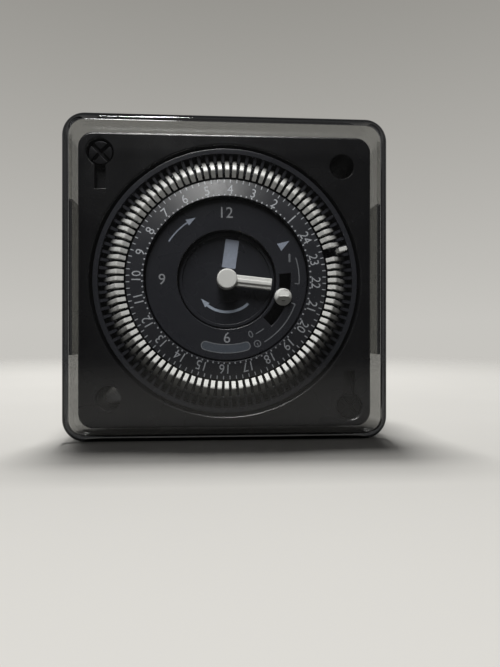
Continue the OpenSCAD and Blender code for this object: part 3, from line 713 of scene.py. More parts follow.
def pad_ink(name, rgb):
    """Pad-printed ink: thin, flat and a little patchy where the pad lifted."""
    material, tree, place = begin(name)
    patch = add(tree, "TexNoise", {"Vector": place, "Scale": 1 / (0.5 * MM), "Detail": 2.0}).outputs["Fac"]
    tone = add(tree, "Mix", {0: patch, 6: shade(rgb, 0.72), 7: shade(rgb, 1.12)}, data_type="RGBA")
    surface = add(tree, "BsdfPrincipled", {"Base Color": tone.outputs[2], "Roughness": 0.5})
    add(tree, "OutputMaterial", {"Surface": surface.outputs["BSDF"]})
    return material


def plain_metal(name, rgb, roughness, grain):
    """Plated or bare metal: fine rolled or tumbled grain that breaks up its shine."""
    material, tree, place = begin(name)
    stretch = add(tree, "Mapping", {"Vector": place, "Scale": (1.0, 0.15, 1.0)})
    grit = {"Vector": stretch.outputs[0], "Scale": 1 / (grain * MM), "Detail": 3.0}
    fine = add(tree, "TexNoise", grit).outputs["Fac"]
    tone = add(tree, "Mix", {0: fine, 6: shade(rgb, 0.85), 7: shade(rgb, 1.1)}, data_type="RGBA")
    sheen = add(tree, "MapRange", {"Value": fine, "To Min": roughness - 0.08, "To Max": roughness + 0.1})
    relief = add(tree, "Bump", {"Strength": 0.15, "Distance": 0.01 * MM, "Height": fine})
    surface = add(
        tree,
        "BsdfPrincipled",
        {
            "Base Color": tone.outputs[2],
            "Roughness": sheen.outputs["Result"],
            "Normal": relief.outputs["Normal"],
            "Metallic": 1.0,
        },
    )
    add(tree, "OutputMaterial", {"Surface": surface.outputs["BSDF"]})
    return material


def copper_winding(name, gap, ridge):
    """Enamelled copper wire: close turns round the bobbin with a varnish shine, painted shade in the gaps
    between turns and a painted highlight on their ridges.
    """
    material, tree, place = begin(name)
    # The real wire is about 0.05 mm; the turns are drawn thicker so that they show.
    wire = 0.3 * MM
    coil = {"Vector": place, "Scale": 0.5 / wire / 10, "Distortion": 0.4, "Detail": 1.0}
    # Painted shade and highlight: the bands go from dark in the gaps between turns to light on their
    # ridges.
    turns = add(tree, "TexWave", coil, bands_direction="Y").outputs["Fac"]
    tone = add(tree, "Mix", {0: turns, 6: shade(gap), 7: shade(ridge)}, data_type="RGBA")
    varnish = {"Base Color": tone.outputs[2], "Metallic": 0.8, "Roughness": 0.35}
    surface = add(tree, "BsdfPrincipled", varnish)
    add(tree, "OutputMaterial", {"Surface": surface.outputs["BSDF"]})
    return material


def who_looks(tree, depth, front, share):
    """Kinds of ray, what lies behind a front, and how pale it looks: less so through the cover."""
    path = add(tree, "LightPath").outputs
    behind = add(tree, "Math", {0: depth, 1: front}, operation="GREATER_THAN").outputs[0]
    through = add(tree, "Math", {0: path["Is Transmission Ray"], 1: behind}, operation="MULTIPLY")
    dimmed = add(tree, "Math", {0: through.outputs[0], 1: share}, operation="MULTIPLY")
    seen = add(tree, "Math", {0: path["Is Camera Ray"], 1: dimmed.outputs[0]}, operation="MAXIMUM")
    return path, behind, seen.outputs[0]


def seamless_paper(name, rgb):
    """Seamless paper for the stage: matt, a little uneven, painted lighter towards the front as a pool of
    light, and lost in the pale room further away.
    """
    material, tree, place = begin(name)
    cloud = add(tree, "TexNoise", {"Vector": place, "Scale": 1 / (60 * MM), "Detail": 3.0}).outputs["Fac"]
    tone = add(tree, "Mix", {0: cloud, 6: shade(rgb, 0.96), 7: shade(rgb, 1.04)}, data_type="RGBA")
    # Only looked at is the paper pale: in shines and as a lamp it is dim, like a room round the table.
    depth = add(tree, "SeparateXYZ", {0: place}).outputs["Y"]
    seen = who_looks(tree, depth, front=-12 * MM, share=0.45)[2]
    # Painted light: towards the front the paper is painted lighter, as if a pool of lamp light lay there.
    near = add(tree, "MapRange", {"Value": depth, "From Min": -40 * MM, "From Max": -100 * MM})
    painted_front_light = {0: near.outputs["Result"], 6: tone.outputs[2], 7: shade(rgb, 1.25)}
    pale = add(tree, "Mix", painted_front_light, data_type="RGBA")
    paint = add(tree, "Mix", {0: seen, 6: shade(rgb, 0.3), 7: pale.outputs[2]}, data_type="RGBA")
    matt = {"Base Color": paint.outputs[2], "Roughness": 0.9, "Specular IOR Level": 0.2}
    surface = add(tree, "BsdfPrincipled", matt)
    away = add(tree, "VectorMath", {0: place}, operation="LENGTH").outputs["Value"]
    reach = {"Value": away, "From Min": 0.14, "From Max": 0.5}
    fade = add(tree, "MapRange", reach, interpolation_type="SMOOTHSTEP").outputs["Result"]
    gone = add(tree, "BsdfTransparent").outputs["BSDF"]
    both = add(tree, "MixShader", {0: fade, 1: surface.outputs["BSDF"], 2: gone})
    add(tree, "OutputMaterial", {"Surface": both.outputs[0]})
    return material


def finish_named(name):
    """One of the timer's finishes, made the first time it is asked for."""
    if name in bpy.data.materials:
        return bpy.data.materials[name]
    colours = bpy.context.scene.timer_colours
    finishes = {
        "housing_abs": (black_abs, colours.housing, 0.26, 0.18),
        "dial_abs": (black_abs, colours.dial, 0.28, 0.12),
        "ring_abs": (black_abs, colours.dial, 0.36, 0.12),
        "white_acetal": (white_acetal, colours.white),
        # The trippers' acetal is painted darker towards their foot, as painted shade.
        "tripper_acetal": (white_acetal, colours.white, TRIPPER_PAINTED_SHADE),
        "ivory_acetal": (white_acetal, linear("#d9d2bd")),
        "red_nylon": (white_acetal, linear("#b5342a")),
        "smoked_polycarbonate": (smoked_polycarbonate, colours.cover, 0.85),
        "smoked_polycarbonate_pad": (smoked_polycarbonate, colours.cover_pad, 0.6),
        "smoked_polycarbonate_edge": (smoked_polycarbonate, colours.cover_edge, 0.3),
        "grey_pad_ink": (pad_ink, colours.print_grey),
        "blue_pad_ink": (pad_ink, colours.bar_blue),
        "light_pad_ink": (pad_ink, linear("#a9b3c2")),
        "soft_pad_ink": (pad_ink, linear("#97999e")),
        "worn_pad_ink": (pad_ink, linear("#787b80")),
        "dim_pad_ink": (pad_ink, linear("#4c525b")),
        "label_foil": (plain_metal, linear("#a3a5a6"), 0.5, 0.15),
        "blackened_steel": (plain_metal, linear("#343436"), 0.3, 0.2),
        "zinc_plated_steel": (plain_metal, linear("#9a9c9f"), 0.38, 0.2),
        "bright_steel": (plain_metal, linear("#c4c6c8"), 0.28, 0.15),
        "rolled_brass": (plain_metal, linear("#c9a55b"), 0.3, 0.2),
        "tinned_brass": (plain_metal, linear("#cfc7ae"), 0.3, 0.25),
        "ferrite": (plain_metal, linear("#3d3d40"), 0.6, 0.3),
        # Dark for the painted shade in the gaps between turns, light for the painted highlight on their
        # ridges.
        "copper_winding": (copper_winding, linear("#6b3417"), linear("#b8693a")),
        "stage_paper": (seamless_paper, colours.floor),
    }
    make, *settings = finishes[name]
    return make(name, *settings)


# Stage


def link_light(lamp, group, piece, state="EXCLUDE"):
    """Keeps a lamp's light off a piece, as a flag on a stand would, or keeps it to that piece."""
    linked = bpy.data.collections.get(group) or bpy.data.collections.new(group)
    if piece.name not in linked.objects:
        linked.objects.link(piece)
    for held in linked.collection_objects:
        held.light_linking.link_state = state
    bpy.data.objects[lamp].light_linking.receiver_collection = linked


class TIMER_OT_stage(bpy.types.Operator):
    """Sets up the pale floor, the soft light and the camera"""

    bl_idname = "timer.stage"
    bl_label = "Stage"
    bl_options = {"REGISTER", "UNDO"}

    def execute(self, context):
        floor_level = CAD_BOX[0].z
        deselect_all()
        bpy.ops.mesh.primitive_circle_add(
            vertices=64, radius=1.0, fill_type="NGON", location=(0, 0, floor_level)
        )
        floor = context.object
        settle()
        floor.name = "stage_floor"
        floor.data.materials.append(finish_named("stage_paper"))
        self.hang_lamps(context, floor)
        self.fill_room(context)
        self.set_camera(context)
        return {"FINISHED"}

    def hang_lamps(self, context, floor):
        """Soft lamps in front, and one overhead that throws the short shadow on the floor."""
        for name, place, aim, size, power in (
            ("key_light", (-0.117, -0.35, 0.69), (0, 0, 0), (0.42, 0.42), 9.0),
            ("glint_light", (-0.105, -0.35, 0.69), (0, 0, 0), (0.075, 0.3), 2.0),
            ("sheen_light", (-0.075, -0.56, 0.55), (0, 0, 0), (0.14, 0.14), 2.2),
            ("top_light", (-0.03, 0.235, 0.7), (-0.03, 0.235, 0), (0.2, 0.16), 8.0),
        ):
            deselect_all()
            bpy.ops.object.light_add(type="AREA", location=place)
            lamp = context.object
            lamp.name = name
            lamp.data.shape = "RECTANGLE"
            lamp.data.size, lamp.data.size_y = size
            lamp.data.energy = power
            lamp.rotation_euler = (Vector(aim) - Vector(place)).to_track_quat("-Z", "Y").to_euler()
            # Refracted rays don't meet the lamps: light enters the cover straight, along shadow rays.
            lamp.visible_transmission = False
            # A lamp in front leaves the floor to the one overhead.
            if place[1] < 0:
                link_light(name, "flagged_from_front", floor)

    def fill_room(self, context):
        """A room that is pale behind the timer, and dim in front of it but for the camera."""
        world = context.scene.world or bpy.data.worlds.new("studio_air")
        context.scene.world = world
        world.use_nodes = True
        tree = world.node_tree
        tree.nodes.clear()
        way = add(tree, "SeparateXYZ", {0: add(tree, "TexCoord").outputs["Generated"]}).outputs
        path, behind, seen = who_looks(tree, way["Y"], front=0.0, share=0.72)
        grey = shade(linear("#c4c4c4"))
        fill = add(tree, "Background", {"Color": grey, "Strength": 0.085}).outputs[0]
        # Shines meet a room that is brighter behind and at the sides.
        sideways = add(tree, "Math", {0: way["X"]}, operation="ABSOLUTE").outputs[0]
        ends = {"From Min": 0.4, "From Max": 0.9, "To Min": 0.05, "To Max": 0.25}
        beside = add(tree, "MapRange", {"Value": sideways, **ends}).outputs["Result"]
        back_glow = 0.2
        glow = add(tree, "Math", {0: behind, 1: back_glow, 2: beside}, operation="MULTIPLY_ADD")
        shine = add(tree, "Background", {"Color": grey, "Strength": glow.outputs[0]}).outputs[0]
        height = add(tree, "MapRange", {"Value": way["Z"], "From Min": 0.02, "From Max": 0.55})
        low, high = shade(linear("#c6c4bf")), shade(linear("#94928d"))
        haze = add(tree, "Mix", {0: height.outputs["Result"], 6: low, 7: high}, data_type="RGBA")
        view = add(tree, "Background", {"Color": haze.outputs[2], "Strength": 1.0}).outputs[0]
        unseen = add(tree, "MixShader", {0: path["Is Glossy Ray"], 1: fill, 2: shine}).outputs[0]
        both = add(tree, "MixShader", {0: seen, 1: unseen, 2: view})
        add(tree, "OutputWorld", {"Surface": both.outputs[0]})

    def set_camera(self, context):
        """The photo's camera: close, a little below the middle, and turned a little to the right."""
        deselect_all()
        bpy.ops.object.camera_add(
            location=(-2.56 * MM, -129.27 * MM, -12.3 * MM),
            rotation=(math.radians(90), 0, math.radians(-3.669)),
        )
        camera = context.object
        camera.name = "photo_camera"
        camera.data.sensor_width = 36
        camera.data.lens = 28.85
        camera.data.clip_start = 0.005
        context.scene.camera = camera
        context.scene.view_settings.view_transform = "Standard"


# Pieces


class TIMER_OT_housing(bpy.types.Operator):
    """Rounds the front frame and the case behind the panel, and sets a bare label in the case"""

    bl_idname = "timer.housing"
    bl_label = "Frame and case"
    bl_options = {"REGISTER", "UNDO"}

    def execute(self, context):
        sizes = context.scene.timer_sizes
        self.round_frame(sizes)
        self.round_case(sizes)
        self.set_label()
        return {"FINISHED"}

    def round_frame(self, sizes):
        """The frame with a round outline and well, and broken edges at its holes."""
        low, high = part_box("front_frame")
        face = -low.y / MM
        side = high.x / MM
        piece = exact_copy("front_frame")

        def in_face(e):
            return is_sharp(e) and flat_at(e, face)

        def outline(e):
            x, y, _, r = spot(e)
            return in_face(e) and (r > FRAME_CORNERS or max(abs(x), abs(y)) > side - NEAR)

        def well(e):
            return in_face(e) and abs(spot(e)[3] - WELL_EDGE) < NEAR

        def holes(e):
            return in_face(e) and WELL_EDGE + 2 * NEAR < spot(e)[3] < FRAME_CORNERS

        bevel(piece, sizes.frame_edge, 4, outline, clamp=False)
        bevel(piece, sizes.frame_edge, 4, well)
        bevel(piece, sizes.moulded_edge, 2, holes)
        finish_piece(piece, "round_edged_frame", "housing", "housing_abs", ["front_frame"])

    def round_case(self, sizes):
        """The case with a round outline, broken edges, and pockets for the label and the numbers."""
        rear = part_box("case")[1].y
        piece = exact_copy("case")

        def outline(e):
            return is_sharp(e) and flat_at(e, -rear / MM) and self.at_side(e, CASE_HALF)

        def openings(e):
            return is_sharp(e) and flat_at(e, -rear / MM) and not self.at_side(e, CASE_HALF - CASE_RIM)

        def flange(e):
            return is_sharp(e) and flat_at(e, 0) and self.at_side(e, FLANGE_HALF)

        bevel(piece, sizes.frame_edge, 3, outline)
        bevel(piece, sizes.moulded_edge, 2, openings)
        bevel(piece, sizes.moulded_edge, 2, flange)
        for pocket in (LABEL_POCKET, NUMBER_POCKET):
            combine(piece, "DIFFERENCE", self.plate(*pocket, rear - REAR_POCKET * MM, rear + MM))
        finish_piece(piece, "round_edged_case", "housing", "housing_abs", ["case"])

    def set_label(self):
        """A bare foil label in its pocket."""
        wide, bottom, top = LABEL_POCKET
        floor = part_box("case")[1].y - REAR_POCKET * MM
        back = floor + LABEL_THICKNESS * MM
        label = self.plate(wide - 2 * LABEL_GAP, bottom + LABEL_GAP, top - LABEL_GAP, floor, back)
        finish_piece(label, "bare_rating_label", "housing", "label_foil")

    def plate(self, wide, bottom, top, front, back):
        """A flat plate with round corners, from a front to a back in metres."""
        piece = block((-wide / 2 * MM, front, bottom * MM), (wide / 2 * MM, back, top * MM))
        bevel(piece, POCKET_CORNER * MM, 4, lambda e: runs_along(e, "y"))
        return piece

    def at_side(self, edge, half):
        """Whether an edge is on the outline of a square with that half width, in mm, and round corners."""
        x, y, _, r = spot(edge)
        return max(abs(x), abs(y)) > half - NEAR / 2 or r > half * CORNER_SHARE


class TIMER_OT_dial(bpy.types.Operator):
    """Rounds the rings of the dial and prints its hours, quarters and dots"""

    bl_idname = "timer.dial"
    bl_label = "Dial"
    bl_options = {"REGISTER", "UNDO"}

    def execute(self, context):
        sizes = context.scene.timer_sizes
        piece = exact_copy("dial")

        def rings(e):
            rim = flat_at(e, DIAL_RIM_FACE) and spot(e)[3] > DIAL_RIM
            return is_sharp(e) and (flat_at(e, DIAL_FACE) or rim)

        bevel(piece, sizes.moulded_edge, 3, rings)
        finish_piece(piece, "round_edged_dial", "dial", "dial_abs", ["dial"])
        slope = (RING_RISE - RING_FALL) / (RING_OUTER - RING_INNER)
        self.number_ring(slope)
        self.print_ring(slope, sizes.dial_numeral / MM)
        return {"FINISHED"}

    def number_ring(self, slope):
        """A ring that falls outwards like a cone, with soft lips."""
        lip = 0.12
        crown = 0.16
        top = DIAL_FACE + RING_RISE
        foot = DIAL_FACE + RING_FALL
        outline = (
            (RING_INNER, DIAL_FACE),
            (RING_INNER, top - lip),
            (RING_INNER + lip / 2, top - lip / 4),
            (RING_INNER + crown, top - crown * slope),
            (RING_OUTER - lip, foot + lip * slope),
            (RING_OUTER - lip / 4, foot - lip / 6),
            (RING_OUTER, DIAL_FACE),
        )
        finish_piece(lathe(outline, steps=144), "coned_number_ring", "dial", "ring_abs")

    def print_ring(self, slope, numeral):
        """Hours, a tick and a dot for each quarter, all lying on the cone."""
        tilt = math.degrees(math.atan(slope))

        def on_ring(mark, angle, radius):
            return at_clock(mark, angle, radius, RING_RISE - (radius - RING_INNER) * slope, tilt)

        marks = []
        for hour in range(1, 25):
            word = ink_word(str(hour), numeral, narrow=0.86)
            marks.append(on_ring(word, MIDNIGHT + HOUR * (24 - hour), NUMBER_CIRCLE))
        tick = ink_bar(width=0.2, height=0.85)
        dot = ink_bar(width=0.32, height=0.42)
        for k in range(QUARTERS):
            marks.append(on_ring(twin(tick), MIDNIGHT + k * QUARTER, TICK_CIRCLE))
            marks.append(on_ring(twin(dot), MIDNIGHT + k * QUARTER, DOT_CIRCLE))
        for start in (tick, dot):
            bpy.data.objects.remove(start)
        printed(marks, DIAL_FACE, "dial_print", "dial", "grey_pad_ink")


class TIMER_OT_trippers(bpy.types.Operator):
    """Models one tripper and sets a copy at every quarter of an hour"""

    bl_idname = "timer.trippers"
    bl_label = "Trippers"
    bl_options = {"REGISTER", "UNDO"}

    def execute(self, context):
        start = self.one_tripper(context.scene.timer_sizes)
        ring = []
        for k in range(QUARTERS):
            angle = MIDNIGHT - (k + 0.5) * QUARTER
            single = k - (QUARTERS - len(SINGLES))
            lean = 0.0 if single == 0 else LEAN
            piece = twin(start)
            piece.matrix_world = Matrix.Rotation(math.radians(lean), 4, "X")
            at_clock(piece, angle, PIVOT_RADIUS, PIVOT_HEIGHT)
            if single < 0:
                ring.append(piece)
            else:
                name = SINGLES[single]
                finish_piece(piece, name + "_peg", name, "tripper_acetal", [name])
        finish_piece(join(ring), "tripper_pegs", "dial", "tripper_acetal", ["trippers"])
        bpy.data.objects.remove(start)
        return {"FINISHED"}

    def one_tripper(self, sizes):
        """A flat peg with its pivot at the middle: rounded tip to the front, narrow tail behind."""
        wide, deep, tall = sizes.tripper_width, sizes.tripper_depth, sizes.tripper_length
        rear = 1.05 * MM
        tail = 2.1 * MM
        outer_edge, tip_edge, shoulder, side_edge = 0.45 * MM, 0.15 * MM, 0.85 * MM, 0.08 * MM

        def at_tip(e):
            return before(e, -tall + HAIR)

        def on_sides(e):
            return is_sharp(e, 60) and beyond(e, -tall + 0.1 * MM) and before(e, rear)

        piece = block((-wide / 2, -tall, -deep / 2), (wide / 2, rear, deep / 2))
        bevel(piece, outer_edge, 3, lambda e: at_tip(e) and all(v.co.z > 0 for v in e.verts))
        bevel(piece, tip_edge, 2, at_tip)
        bevel(piece, shoulder, 3, lambda e: beyond(e, rear - HAIR) and runs_along(e, "x"))
        pick(piece, "FACE", lambda f: f.normal.y > FACING)
        extrude((0, tail, 0))
        bevel(piece, side_edge, 1, on_sides)
        return piece


class TIMER_OT_centre(bpy.types.Operator):
    """Rounds the fixed centre face and prints its numbers, arrow, pointer and switch marks"""

    bl_idname = "timer.centre"
    bl_label = "Centre face"
    bl_options = {"REGISTER", "UNDO"}

    def execute(self, context):
        sizes = context.scene.timer_sizes
        piece = exact_copy("centre_face")
        bevel(piece, sizes.moulded_edge, 3, lambda e: is_sharp(e) and flat_at(e, CENTRE_FACE))
        finish_piece(piece, "round_edged_centre", "housing", "dial_abs", ["centre_face"])
        tall = sizes.face_numeral / MM
        numbers = [upright(ink_word(word, tall), angle, radius) for word, angle, radius in FACE_NUMBERS]
        printed(numbers, CENTRE_FACE, "face_numbers", "housing", "soft_pad_ink")
        pointer = at_clock(ink_point(base=1.9, tall=2.8), angle=58, radius=14.1)
        arrow = ink_arrow(*TURN_ARROW, half=0.15, base=1.5, tall=2.2)
        printed([pointer, *arrow], CENTRE_FACE, "face_arrows", "housing", "blue_pad_ink")
        printed(self.switch_marks(), CENTRE_FACE, "face_switch_marks", "housing", "worn_pad_ink")
        self.print_badge()
        return {"FINISHED"}

    def switch_marks(self):
        """The signs for on, off and clock, with lines that lead to them from the slot."""
        line = 0.11
        foot = 1.0
        sign_hand = 0.38
        sign_angle, sign_circle = CLOCK_SIGN
        return [
            upright(ink_bar(width=0.45, height=1.9), angle=70.6, radius=15.2),
            ink_line(LEAD_CIRCLE, line, *ON_LEAD),
            at_clock(ink_bar(2 * line, foot), ON_LEAD[1], LEAD_FOOT),
            at_clock(ink_bar(2 * line, foot), CLOCK_LEAD[0], LEAD_FOOT),
            ink_line(LEAD_CIRCLE, line, *CLOCK_LEAD),
            ink_line(radius=14.0, half=line, start=143, stop=152),
            at_clock(ink_word("0", height=1.6), angle=156.5, radius=13.6),
            at_clock(ink_ring(inner=0.62, outer=0.84), sign_angle, sign_circle),
            at_clock(ink_bar(width=0.2, height=0.44), sign_angle, sign_circle + sign_hand),
            at_clock(ink_ring(inner=0.0, outer=0.16), sign_angle, sign_circle),
        ]

    def print_badge(self):
        """A bare, curved badge with round ends and a thin outline."""
        half = 0.85
        line = 0.2
        first, last = BADGE_ENDS
        inner, outer = BADGE_CIRCLE - half, BADGE_CIRCLE + half
        badge = [
            ink_arc(inner, outer, first, last),
            ink_half_disc(half, -1, first, BADGE_CIRCLE),
            ink_half_disc(half, 1, last, BADGE_CIRCLE),
        ]
        printed(badge, CENTRE_FACE, "face_plain_badge", "housing", "dim_pad_ink")
        outline = [
            ink_arc(inner - line, inner, first, last),
            ink_arc(outer, outer + line, first, last),
            at_clock(ink_arc(half, half + line, 180, 360), first, BADGE_CIRCLE),
            at_clock(ink_arc(half, half + line, 0, 180), last, BADGE_CIRCLE),
        ]
        printed(outline, CENTRE_FACE, "face_badge_line", "housing", "worn_pad_ink")


class TIMER_OT_hands(bpy.types.Operator):
    """Rounds the hour disc, prints its bar and arrow, and models the minute hand"""

    bl_idname = "timer.hands"
    bl_label = "Hour disc and minute hand"
    bl_options = {"REGISTER", "UNDO"}

    def execute(self, context):
        piece = exact_copy("hour_disc")
        disc_edge = 0.18 * MM
        bevel(piece, disc_edge, 2, lambda e: is_sharp(e) and spot(e)[2] > DISC_FACE + NEAR)
        finish_piece(piece, "round_edged_hour_disc", "hour", "dial_abs", ["hour_disc"])
        bar = at_clock(ink_bar(width=3.15, height=6.6, rounding=0.06), angle=8, radius=6.2)
        printed([bar], DISC_FACE, "hour_bar", "hour", "blue_pad_ink")
        arrow = ink_arrow(*DISC_ARROW, half=0.3, base=1.4, tall=2.1)
        printed(arrow, DISC_FACE, "hour_disc_arrow", "hour", "light_pad_ink")
        self.minute_hand()
        return {"FINISHED"}

    def minute_hand(self):
        """A ridged arm joined to a round hub."""
        wide, root, reach = 2.6 * MM, 0.4 * MM, 10.2 * MM
        rear, face = -6.0 * MM, -7.5 * MM
        ridge, crest = 0.9 * MM, 0.4 * MM
        hub_radius, hub_back, hub_front = 2.3, 5.8, 9.3
        side_edge, crest_edge, hub_edge = 0.28 * MM, 0.2 * MM, 0.4 * MM

        def outer_edges(e):
            return is_sharp(e) and before(e, rear - 0.2 * MM) and abs(spot(e)[0]) > wide / 2 / MM - NEAR

        arm = block((-wide / 2, face, root), (wide / 2, rear, reach))
        for x in (-ridge / 2, ridge / 2):
            pick(arm, "FACE")
            bpy.ops.mesh.bisect(plane_co=(x, 0, 0), plane_no=(1, 0, 0))
        pick(arm, "FACE", lambda f: f.normal.y < -FACING and abs(f.calc_center_median().x) < ridge / 2)
        extrude((0, -crest, 0))
        bevel(arm, side_edge, 3, outer_edges)
        bevel(arm, crest_edge, 2, lambda e: is_sharp(e) and before(e, face - 0.3 * MM))
        at_clock(arm, HAND_ANGLE)
        hub = drum(hub_radius, hub_back, hub_front, 72)
        bevel(hub, hub_edge, 4, lambda e: is_sharp(e) and flat_at(e, hub_front))
        combine(hub, "UNION", arm)
        face_out(hub)
        finish_piece(hub, "ridged_minute_hand", "minute", "white_acetal", ["minute_hand"])


class TIMER_OT_override(bpy.types.Operator):
    """Models the override knob: a low dome cut to a ridge for the finger"""

    bl_idname = "timer.override"
    bl_label = "Override knob"
    bl_options = {"REGISTER", "UNDO"}

    def execute(self, context):
        low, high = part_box("override_knob")
        middle = (low + high) / 2
        radius = (high.x - low.x) / 2
        deselect_all()
        bpy.ops.mesh.primitive_uv_sphere_add(segments=48, ring_count=24, radius=radius, location=middle)
        piece = context.object
        piece.location.y = high.y
        piece.rotation_euler = (math.pi / 2, 0, 0)
        piece.scale = (1, 1, (high.y - low.y) / radius)
        settle()
        ridge_drop, ridge_edge = 0.3 * MM, 0.1 * MM
        ridge = Vector((middle.x, low.y + ridge_drop, middle.z))
        lower, upper = math.radians(40), math.radians(14)
        for point, normal in (
            ((0, high.y, 0), (0, 1, 0)),
            (ridge, (0, -math.cos(lower), -math.sin(lower))),
            (ridge, (0, -math.cos(upper), math.sin(upper))),
        ):
            pick(piece, "FACE")
            bpy.ops.mesh.bisect(plane_co=point, plane_no=normal, use_fill=True, clear_outer=True)
            bpy.ops.object.mode_set(mode="OBJECT")
        bevel(piece, ridge_edge, 2, lambda e: before(e, ridge.y + CLOSE))
        face_out(piece)
        finish_piece(piece, "ridged_override_knob", "override", "white_acetal", ["override_knob"])
        return {"FINISHED"}


class TIMER_OT_clamps(bpy.types.Operator):
    """Rounds the clamp screws and their claws"""

    bl_idname = "timer.clamps"
    bl_label = "Clamp screws and claws"
    bl_options = {"REGISTER", "UNDO"}

    def execute(self, context):
        head_edge, claw_edge = 0.18 * MM, 0.25 * MM
        for end in ("top", "bottom"):
            node = "clamp_screw_" + end
            piece = exact_copy(node)
            bevel(piece, head_edge, 2, lambda e: is_sharp(e) and flat_at(e, SCREW_FACE))
            finish_piece(piece, node + "_head_round", node, "blackened_steel", [node])
            node = "claw_" + end
            piece = exact_copy(node)
            bevel(piece, claw_edge, 2, is_sharp)
            finish_piece(piece, node + "_stamped", node, "zinc_plated_steel", [node])
        return {"FINISHED"}


class TIMER_OT_terminals(bpy.types.Operator):
    """Models a spade blade with a chamfered tip and a latch hole, copies it and numbers the copies"""

    bl_idname = "timer.terminals"
    bl_label = "Spade terminals"
    bl_options = {"REGISTER", "UNDO"}

    def execute(self, context):
        low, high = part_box("terminal_blades")
        wide = 6.3 * MM
        count = 5
        pitch = (high.x - low.x - wide) / (count - 1)
        start = self.one_blade(context, low, high, wide)
        blades = []
        for k in range(count):
            piece = twin(start)
            piece.location.x = (low.x + high.x) / 2 + (k - (count - 1) / 2) * pitch
            settle()
            blades.append(piece)
        bpy.data.objects.remove(start)
        finish_piece(join(blades), "spade_blades", "housing", "tinned_brass", ["terminal_blades"])
        self.print_numbers(count, pitch)
        return {"FINISHED"}

    def one_blade(self, context, low, high, wide):
        """A blade with its tip to the back, chamfered all round, and a hole for a latch."""
        thick = high.z - low.z
        tip = high.y
        chamfer, thinning = 0.9 * MM, thick * 0.3
        hole_radius, hole_back, hole_edge = 0.8 * MM, 3.6 * MM, 0.1 * MM
        blade = block((-wide / 2, low.y, low.z), (wide / 2, high.y, high.z))
        bevel(blade, chamfer, 1, lambda e: beyond(e, tip - HAIR) and runs_along(e, "z"))
        bevel(blade, thinning, 1, lambda e: beyond(e, tip - HAIR) and not runs_along(e, "z"))
        deselect_all()
        bpy.ops.mesh.primitive_cylinder_add(
            vertices=32,
            radius=hole_radius,
            depth=4 * thick,
            location=(0, tip - hole_back, (low.z + high.z) / 2),
        )
        drill = context.object
        bevel(drill, hole_edge, 1, is_sharp)
        combine(blade, "DIFFERENCE", drill)
        return blade

    def print_numbers(self, count, pitch):
        """Prints a number over each blade, to be read from behind."""
        _, bottom, top = NUMBER_POCKET
        numbers = []
        for k in range(count):
            piece = ink_word(str(k + 1), height=2.4)
            take(piece)
            piece.location.x = (k - (count - 1) / 2) * pitch
            settle()
            numbers.append(piece)
        piece = thicken(numbers)
        piece.rotation_euler = (0, 0, math.pi)
        piece.location = (0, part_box("case")[1].y - REAR_POCKET * MM, (bottom + top) / 2 * MM)
        finish_piece(piece, "terminal_numbers", "housing", "grey_pad_ink")


class TIMER_OT_cover(bpy.types.Operator):
    """Models the clear cover: a round-edged box, open at the back, with a pad inside each side"""

    bl_idname = "timer.cover"
    bl_label = "Clear cover"
    bl_options = {"REGISTER", "UNDO"}

    def execute(self, context):
        sizes = context.scene.timer_sizes
        low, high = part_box("cover")
        piece = block(low, high)
        bevel(piece, sizes.cover_corner, 12, lambda e: runs_along(e, "y"))
        bevel(piece, sizes.cover_edge, 6, lambda e: before(e, low.y + HAIR))
        pick(piece, "FACE", lambda f: f.normal.y > FACING)
        bpy.ops.mesh.delete(type="FACE")
        apply(piece, "SOLIDIFY", thickness=sizes.cover_wall, offset=-1.0, use_even_offset=True)
        self.add_pads(piece, sizes, low, high)
        finish_piece(piece, "clear_cover", "cover", "smoked_polycarbonate", ["cover"], smooth=40)
        self.tint(piece, sizes, high)
        # Big lamps would burn out the cover's edges: a small one of its own gives it the short glint.
        link_light("top_light", "flagged_from_above", piece)
        link_light("key_light", "flagged_from_front", piece)
        link_light("glint_light", "glinting", piece, "INCLUDE")
        return {"FINISHED"}

    def add_pads(self, piece, sizes, low, high):
        """Raises a pad on the inner face of each side wall."""
        half = sizes.pad_length / 2
        front = low.y + sizes.cover_wall + PAD_GAP * MM
        rear = -PAD_REAR * MM
        for side in (-1, 1):
            inner = side * (high.x - sizes.cover_wall)

            def on_wall(face):
                return face.normal.x * side < -FACING and abs(face.calc_center_median().x - inner) < CLOSE

            def on_pad(face):
                middle = face.calc_center_median()
                return on_wall(face) and abs(middle.z) < half and front < middle.y < rear

            for point, normal in (
                ((0, 0, half), (0, 0, 1)),
                ((0, 0, -half), (0, 0, 1)),
                ((0, front, 0), (0, 1, 0)),
                ((0, rear, 0), (0, 1, 0)),
            ):
                pick(piece, "FACE", on_wall)
                bpy.ops.mesh.bisect(plane_co=point, plane_no=normal)
            pick(piece, "FACE", on_pad)
            extrude((-side * sizes.pad_depth, 0, 0))

    def tint(self, piece, sizes, high):
        """Gives the faces that one looks along and the rim a near-black tint as painted shade, and the
        pads their own smoke.
        """
        piece.data.materials.append(finish_named("smoked_polycarbonate_edge"))
        piece.data.materials.append(finish_named("smoked_polycarbonate_pad"))
        pad_face = high.x - sizes.cover_wall - sizes.pad_depth
        slant = math.sin(math.radians(25))
        for face in piece.data.polygons:
            aside = math.hypot(face.normal.x, face.normal.z)
            rim = face.center.y > high.y - CLOSE
            # Painted shade: the rim and the faces that turn aside get the near-black edge tint.
            if rim or (face.normal.y < -0.05 and aside > slant):
                face.material_index = 1
            elif abs(abs(face.center.x) - pad_face) < CLOSE:
                face.material_index = 2


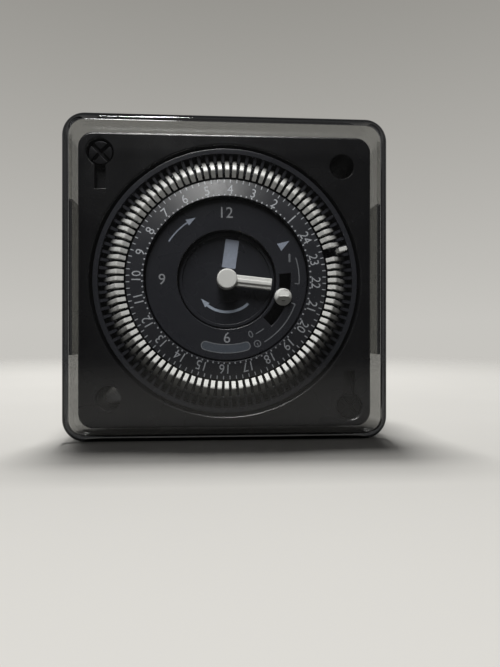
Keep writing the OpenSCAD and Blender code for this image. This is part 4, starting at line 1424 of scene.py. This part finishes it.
class TIMER_OT_movement(bpy.types.Operator):
    """Gives the wheels, plates, motor and switch inside the case their finishes"""

    bl_idname = "timer.movement"
    bl_label = "Movement"
    bl_options = {"REGISTER", "UNDO"}

    def execute(self, context):
        by_slot = {
            "black": "dial_abs",
            "white": "white_acetal",
            "ivory": "ivory_acetal",
            "brass": "rolled_brass",
            "steel": "bright_steel",
            "zinc": "zinc_plated_steel",
            "coil": "copper_winding",
            "magnet": "ferrite",
            "red": "red_nylon",
            "clear": "smoked_polycarbonate",
        }
        for row in frame["record"]["subparts"]:
            node = frame["nodes"][row["node"]]
            if node.hide_render:
                continue
            node.data.materials.clear()
            node.data.materials.append(finish_named(by_slot[row["material_slot"]]))
        return {"FINISHED"}


class TIMER_PT_pieces(bpy.types.Panel):
    """Lists the timer's pieces, sizes and colours"""

    bl_idname = "TIMER_PT_pieces"
    bl_label = "Panel timer"
    bl_space_type = "VIEW_3D"
    bl_region_type = "UI"
    bl_category = "Panel timer"

    def draw(self, context):
        for step in STEPS:
            self.layout.operator(step.bl_idname)
        for group in (context.scene.timer_sizes, context.scene.timer_colours):
            box = self.layout.box()
            for key in group.__annotations__:
                box.prop(group, key)


STEPS = (
    TIMER_OT_stage,
    TIMER_OT_housing,
    TIMER_OT_dial,
    TIMER_OT_trippers,
    TIMER_OT_centre,
    TIMER_OT_hands,
    TIMER_OT_override,
    TIMER_OT_clamps,
    TIMER_OT_terminals,
    TIMER_OT_cover,
    TIMER_OT_movement,
)
CLASSES = (TimerSizes, TimerColours, *STEPS, TIMER_PT_pieces)


def register():
    for entry in CLASSES:
        bpy.utils.register_class(entry)
    bpy.types.Scene.timer_sizes = PointerProperty(type=TimerSizes)
    bpy.types.Scene.timer_colours = PointerProperty(type=TimerColours)


def unregister():
    del bpy.types.Scene.timer_colours
    del bpy.types.Scene.timer_sizes
    for entry in reversed(CLASSES):
        bpy.utils.unregister_class(entry)


def main():
    register()
    bpy.ops.timer.stage()
    bpy.ops.timer.housing()
    bpy.ops.timer.dial()
    bpy.ops.timer.trippers()
    bpy.ops.timer.centre()
    bpy.ops.timer.hands()
    bpy.ops.timer.override()
    bpy.ops.timer.clamps()
    bpy.ops.timer.terminals()
    bpy.ops.timer.cover()
    bpy.ops.timer.movement()


if __name__ == "__main__":
    main()
